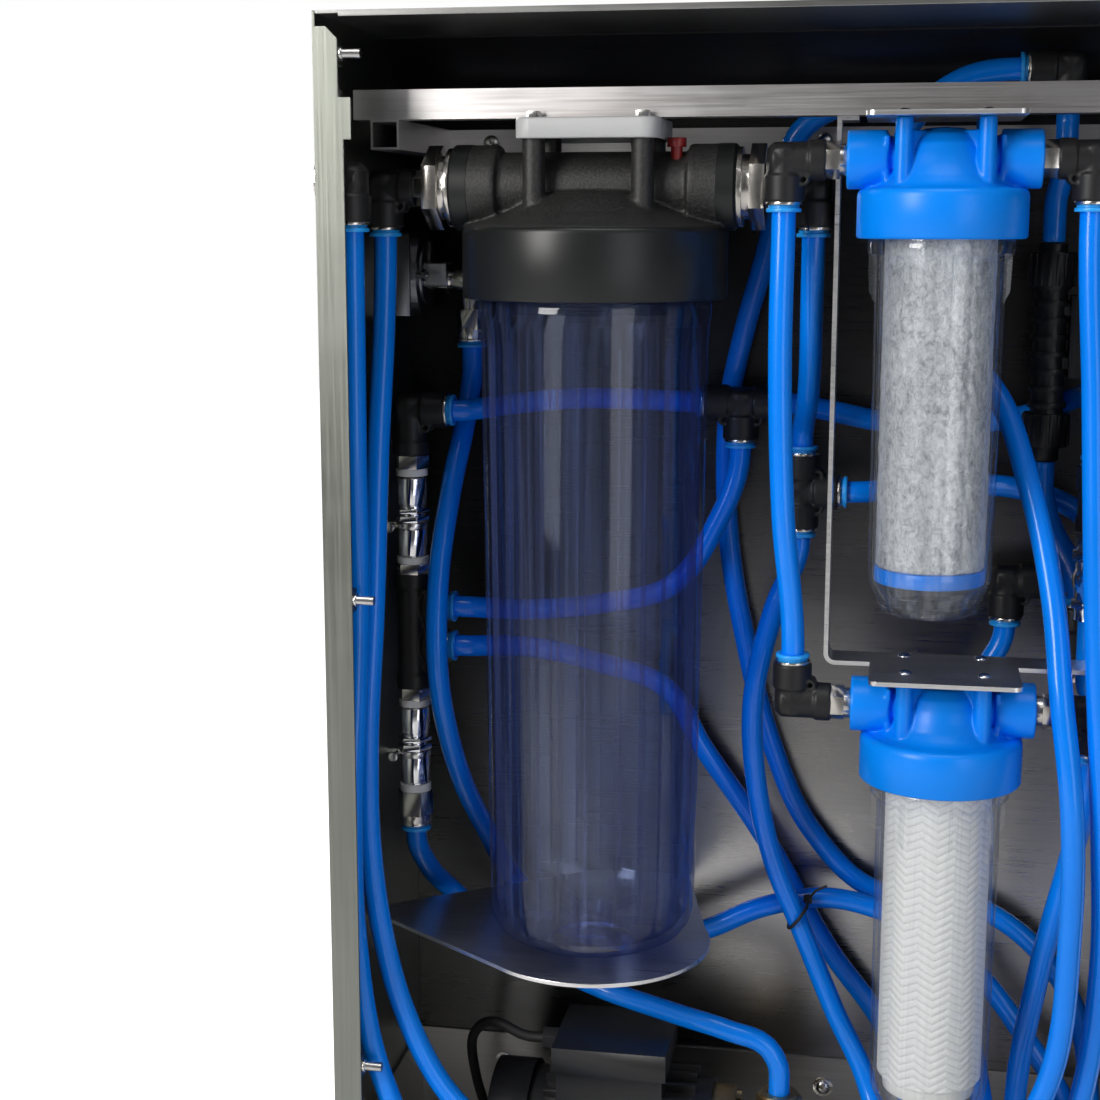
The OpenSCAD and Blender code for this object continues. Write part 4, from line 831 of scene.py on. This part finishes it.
def large_cap_port_rims():
    """Turned faces of the two ports."""
    profile = [(16.7, -1.2), (27.6, -1.2), (29.3, 0.6), (29.3, 12), (28.6, 12.6),
               (16.7, 12.6)]
    shape = Shape()
    for s in (-1, 1):
        shape.lathe(profile, 120, beside(LARGE, s * LARGE_PORT_FACE, LARGE_PORT_Z),
                    (-s, 0, 0), closed=True)
    piece("large_cap_port_rims", shape, "black_skirt", 40)


def large_sump_shell():
    profile = [(0, -172), (16, -172), (30, -171.6), (48, -170), (60, -167.6), (67, -163.5),
               (71.5, -157), (74, -148), (75, -120), (79.3, 262), (80.0, 275), (81.5, 283),
               (81.5, 291.6), (80.7, 292.6), (76, 292.6), (76, 327), (69, 327), (69, 283),
               (74.5, 272), (70.5, -140), (68.6, -150), (63, -158.5), (54, -162),
               (0, -163.5)]
    piece("large_sump_shell", Shape().lathe(profile, 160, LARGE), "tinted_clear", 45,
          "large_filter_sump", "large_sump")


def large_sump_ribs():
    foot, head, depth = 70.6, 74.2, 3.6   # outer radius at both ends, radial depth
    shape = Shape()
    for k in range(24):   # upright ribs inside the wall, unevenly spaced
        half = 0.9 if k % 2 else 0.5
        corners = np.array([
            (foot - depth, -half * 0.5, -140), (foot - depth, half * 0.5, -140),
            (foot, half, -142), (foot, -half, -142),
            (head - depth, -half * 0.5, 258), (head - depth, half * 0.5, 258),
            (head, half, 262), (head, -half, 262)])
        turn = spin(6 + 15 * k + 2.2 * math.sin(k * 5.1))
        shape.add(corners @ turn.T + np.array(LARGE),
                  [[0, 1, 2, 3], [7, 6, 5, 4], [0, 4, 5, 1],
                   [1, 5, 6, 2], [2, 6, 7, 3], [3, 7, 4, 0]])
    for k in range(6):   # ribs across the bottom
        shape.box((14, -1.2, -163.6), (52, 1.2, -158), spin(60 * k), LARGE)
    shape.lathe([(12, -163.6), (15, -163.6), (15, -152), (12, -152)], 64, LARGE, closed=True)
    shape.lathe([(17, -180.5), (22, -181), (22, -171), (17, -171)], 64, LARGE, closed=True)
    piece("large_sump_ribs", shape, "tinted_clear", 40, body="large_sump")


# ---------------------------------------------------------------- slim filters
def slim_cap_head():
    dome = [(0, 26), (50, 26), (51.5, 30.5), (48, 32.6), (43.5, 33.6), (40.5, 36),
            (36.8, 40.5), (33.4, 47), (30.6, 54), (27, 61), (21, 67), (12, 70.6), (0, 71.6)]
    port = [(10.6, -0.5), (18.4, -0.5), (19, 0.4), (19, 24.6), (18.6, 25.6), (10.6, 25.6)]
    post = [(0, 28), (6.0, 28), (5.5, 76.5), (5.2, 77), (0, 77)]
    pitch = 26   # of the corner posts, from the axis
    shape = Shape().lathe(dome, 128)
    for s in (-1, 1):
        inward = (-s, 0, 0)
        shape.lathe(port, 72, (s * 61.5, 0, SLIM_PORT_Z), inward, closed=True)
        shape.lathe([(0, 0), (15, 0), (15, 40), (0, 40)], 64, (s * 44, 0, SLIM_PORT_Z), inward)
        shape.box((s * 36.5 - 1.6, -17.5, 31), (s * 36.5 + 1.6, 17.5, 66))
        shape.box((s * pitch - 1.9, -pitch, 32), (s * pitch + 1.9, pitch, 66))
    for i in (-1, 1):
        for j in (-1, 1):
            corner = (i * pitch, j * pitch, 0)
            shape.lathe(post, 36, corner)
            # web from the post towards the axis
            start, end = (-22, 0) if i > 0 else (0, 22)
            shape.box((start, -1.6, 31), (end, 1.6, 69), spin(45 * i * j), corner)
    return moulded(shape, 0.95)


SLIM_CAP_RING = [
    (44.1, 0.4), (52.2, 0.2), (54.0, 0.6), (55, 1.8), (55, 27), (54.6, 29.6), (53.4, 31.4),
    (51.4, 32.4), (49, 32.6), (30, 31), (30, 27.8), (44.1, 27.8)]
SLIM_SUMP = [
    (0, -249), (12, -249), (24, -248.8), (29, -248), (32, -246), (33.4, -243), (34, -240),
    (36, -236), (39.2, -230), (40.6, -225), (41, -220), (42.4, -16), (43.2, -12.6),
    (46.5, -10.2), (47.5, -9), (47.5, -1.2), (46.9, -0.4), (44, -0.4), (44, 23.9),
    (38.6, 23.9), (38.6, -8), (38, -220), (37.4, -226), (34.4, -233), (31, -239),
    (27.6, -242.6), (0, -243)]


def slim_sump_fins(place):
    corners = np.array([
        (41.6, -0.8, -42), (41.6, 0.8, -42), (41.6, -1.1, -9.5), (41.6, 1.1, -9.5),
        (46.9, -0.6, -9.5), (46.9, 0.6, -9.5), (46.2, -0.6, -34), (46.2, 0.6, -34)])
    shape = Shape()
    for k in range(8):   # fins under the collar
        shape.add(corners @ spin(10 + 45 * k).T + np.array(place),
                  [[0, 1, 3, 2], [2, 3, 5, 4], [4, 5, 7, 6],
                   [6, 7, 1, 0], [0, 2, 4, 6], [1, 7, 5, 3]])
    for k in range(6):   # ribs across the bottom
        shape.box((12, -1, -243.4), (26, 1, -236.5), spin(60 * k), place)
    return shape.lathe([(9, -252.2), (12, -252.2), (12, -248), (9, -248)], 40, place,
                       closed=True)


def slim_filters():
    head = slim_cap_head()
    for tag, place in (("upper", UPPER), ("lower", LOWER)):
        body = tag + "_sump"
        piece(tag + "_cap_head", Shape().join(head, place), "blue_cap", 60,
              tag + "_filter_cap")
        piece(tag + "_cap_ring", Shape().lathe(SLIM_CAP_RING, 144, place, closed=True),
              "blue_cap", 50)
        piece(tag + "_sump_shell", Shape().lathe(SLIM_SUMP, 128, place), "clear", 45,
              tag + "_filter_sump", body)
        piece(tag + "_sump_fins", slim_sump_fins(place), "clear", 40, body=body)


# ---------------------------------------------------------------- cartridges
CARTRIDGE_RADIUS = 36
rng = np.random.default_rng(7)


def cartridge(place, radius, relief, rows, sides):
    """Hollow cylinder with rounded rims; gives the shape and its relief heights."""
    height, core, rim = 230, 15, 1.6
    x, y, z = beside(place, 0, -217)
    angles = np.arange(sides) * 2 * math.pi / sides
    A, Z = np.meshgrid(angles, np.linspace(0, height, rows))
    heights = relief(A, Z)
    edge = np.minimum(1, np.minimum(Z, height - Z) / 2.0)
    R = radius - rim * (1 - np.sqrt(np.maximum(0, 1 - (1 - edge) ** 2))) + heights
    points = np.stack([x + R * np.cos(A), y + R * np.sin(A), z + Z], -1).reshape(-1, 3).tolist()
    faces = []
    for i in range(rows - 1):
        for k in range(sides):
            j = (k + 1) % sides
            faces.append([i * sides + k, i * sides + j,
                          (i + 1) * sides + j, (i + 1) * sides + k])
    low = len(points)   # first points of the two core rings, and of the top outer ring
    high = low + sides
    top = low - sides
    for level in (0, height):
        points += [(x + core * math.cos(a), y + core * math.sin(a), z + level) for a in angles]
    for k in range(sides):
        j = (k + 1) % sides
        faces.append([k, low + k, low + j, j])
        faces.append([top + k, top + j, high + j, high + k])
        faces.append([low + k, high + k, high + j, low + j])
    return Shape().add(points, faces), heights


def fuzz(A, Z):
    """Small random waves, cut by three upright seams."""
    waves = 0
    for _ in range(24):
        turns, climb, phase = rng.integers(3, 40), rng.uniform(0.05, 0.5), rng.uniform(0, 6.28)
        waves = waves + np.sin(turns * A + climb * Z + phase) * 0.05
    seams = 0
    for seam in (4.25, 4.95, 5.3):
        away = (A - seam + math.pi) % (2 * math.pi) - math.pi
        seams = seams + 0.55 * np.exp(-(away * CARTRIDGE_RADIUS / 1.6) ** 2)
    return waves - seams


def weave(A, Z):
    """Two crossing sets of strands that pass over and under each other."""
    pitch = 11.5
    turns = round(CARTRIDGE_RADIUS / math.tan(math.radians(62)) * 2 * math.pi / pitch)
    u = A * turns + Z / pitch * 2 * math.pi
    w = -A * turns + Z / pitch * 2 * math.pi
    a, b = np.abs(np.sin(u)) ** 0.7, np.abs(np.sin(w)) ** 0.7
    over = 0.5 + 0.5 * np.tanh(3 * np.sin((u - w) * 0.5))
    return 0.75 * (a * over + b * (1 - over)) + 0.12 * np.sin(9 * u + 3 * w) * a


def carbon_block():
    shape, _ = cartridge(UPPER, CARTRIDGE_RADIUS, fuzz, rows=150, sides=220)
    piece("carbon_block", shape, "carbon_felt", 80, "carbon_cartridge",
          "upper_sump")


def wound_yarn():
    sides = 480
    shape, heights = cartridge(LOWER, 35.4, weave, rows=420, sides=sides)
    obj = piece("wound_yarn", shape, "white_yarn", 80, "wound_cartridge",
                "lower_sump")
    # relief from 0 to 1, and 1 on the core rings; it paints shade into the grooves
    share = (heights - heights.min()) / (heights.max() - heights.min() + 1e-9)
    values = np.append(share.ravel(), np.ones(2 * sides)).astype(np.float32)
    obj.data.attributes.new("groove_shade", "FLOAT", "POINT").data.foreach_set("value", values)


# ---------------------------------------------------------------- small pieces
def sealing_tape_rings():
    shape = Shape()
    for z, height in ((157.5, 5.5), (90.8, 5.2), (-20.4, 5.3), (-87.8, 5.6)):
        uneven = [(11.9 + 0.25 * math.sin(k * 2.1), height * k / 8) for k in range(9)]
        shape.lathe([(8.3, 0)] + uneven + [(8.3, height)], 48, (*MANIFOLD, z), closed=True)
    piece("sealing_tape_rings", shape, "white_tape", 60)


def gauge_clamp():
    """Sheet channel, open to the rear."""
    left, right, front, rear, bottom, top, sheet = -352.5, -335, -62.0, -38, 297, 315, 1.4
    shape = Shape().box((left, front, bottom), (right, front + sheet, top))
    shape.box((left, front, top - sheet), (right, rear, top))
    shape.box((left, front, bottom), (right, rear, bottom + sheet))
    piece("gauge_clamp", shape, "clamp_steel", 40, bevel=0.4)


def dial_marks():
    """Ticks on the dial, in the YZ plane; every fifth is long and bold."""
    shape = Shape()
    for k in range(31):
        inner, half = (20.5, 0.55) if k % 5 == 0 else (23.5, 0.28)
        a = math.radians(225 - 9 * k)
        c, s = math.cos(a), math.sin(a)
        turn = np.array([[0, 0, 1], [c, -s, 0], [s, c, 0]])
        shape.box((inner, -half, 0), (26.5, half, 0.25), turn, (-370.62, -49, 306))
    piece("dial_marks", shape, "black_plastic", 40)


def cable_tie():
    """Long loop with a lock block and a loose tail."""
    radius, half_run = 11.6, 12.5
    centre = np.array([-61, -54.5, -180.0])
    length, across = np.array([0, 1.0, 0]), np.array([0.6, 0, 0.8])
    loop = []
    for k in range(41):
        a = 2 * math.pi * k / 40
        s = math.sin(a)
        shift = half_run if s > 0.01 else -half_run if s < -0.01 else 0
        loop.append(centre + length * (s * radius + shift) + across * math.cos(a) * radius)
    lock = centre + across * radius
    shape = Shape().sweep(loop, 1.3)
    shape.box((-3.2, -3, -2.4), (3.2, 3, 2.4), centre=lock)
    shape.sweep([lock + np.array([0, -1.0, 0]), centre + across * 18 + np.array([2, -3.0, 3]),
                 centre + across * 27 + np.array([5, -8.0, 2])], 1.0)
    piece("cable_tie", shape, "rubber", 60)


# ---------------------------------------------------------------- stage
def floor():
    half, z = 9, -0.62
    mesh = bpy.data.meshes.new("floor")
    mesh.from_pydata([(-half, -half, z), (half, -half, z), (half, half, z), (-half, half, z)],
                     [], [[0, 1, 2, 3]])
    pale_floor()
    mesh.materials.append(MATERIALS["pale_floor"])
    obj = bpy.data.objects.new("floor", mesh)
    scene.collection.objects.link(obj)


def studio_world():
    """White to the camera, a dim grey gradient to everything else."""
    scene.world = bpy.data.worlds.new("studio")
    w = Nodes(scene.world, "OutputWorld")
    sky = w.ramp(w.split(w.coords["Generated"])[2],
                 [(0.30, (0.085, 0.085, 0.09)), (0.85, (0.30, 0.30, 0.31))])
    dim = w.node("Background", {0: sky, 1: 1.0}).outputs[0]
    white = w.node("Background", {0: (1, 1, 1), 1: 1.0}).outputs[0]
    w.surface(w.mix_shader(w.node("LightPath").outputs["Is Camera Ray"], dim, white))


# name, location, target, width, height, power (W), colour
LIGHTS = (
    ("key", (-1.55, -1.95, 0.95), (-0.05, 0, 0.05), 0.8, 1.5, 46, (1, 0.985, 0.96)),
    ("fill", (1.3, -2.2, 0.3), (0, 0, 0), 1.0, 1.8, 9, (0.95, 0.97, 1)),
    ("back", (0.2, 2.4, 1.4), (0, 0, 0), 2.0, 1.4, 20, (1, 1, 1)),
    ("top", (0, -0.9, 2.0), (0, -0.1, 0), 1.4, 0.8, 9, (1, 1, 1)))


def lights():
    for name, location, target, width, height, power, colour in LIGHTS:
        light = bpy.data.lights.new(name, "AREA")
        light.shape = "RECTANGLE"
        light.size = width
        light.size_y = height
        light.energy = power
        light.color = colour
        obj = bpy.data.objects.new(name, light)
        scene.collection.objects.link(obj)
        obj.location = location
        aim = Vector(target) - Vector(location)
        obj.rotation_euler = aim.to_track_quat("-Z", "Y").to_euler()


def camera():
    obj = bpy.data.objects.new("camera", bpy.data.cameras.new("camera"))
    scene.collection.objects.link(obj)
    obj.data.lens = 60.87
    obj.data.sensor_width = 36
    obj.data.clip_start = 0.05
    obj.data.clip_end = 60
    obj.location = (-0.003, -1.438, 0.345)
    obj.rotation_euler = (math.radians(80), 0, math.radians(10.4))
    scene.camera = obj


def render_settings():
    scene.view_settings.view_transform = "Standard"
    try:   # scene.cycles is missing where Cycles is not enabled
        scene.cycles.transparent_max_bounces = 32
        scene.cycles.max_bounces = 10
        scene.cycles.caustics_reflective = False
    except AttributeError:
        pass


make_materials()
finish_cad_nodes()
for build in (tubes, power_cable, elbow_fittings, tee_fittings,
              large_cap_skirt, large_cap_head, large_cap_port_rims,
              large_sump_shell, large_sump_ribs, slim_filters, carbon_block, wound_yarn,
              sealing_tape_rings, gauge_clamp, dial_marks, cable_tie,
              floor, studio_world, lights, camera, render_settings):
    build()
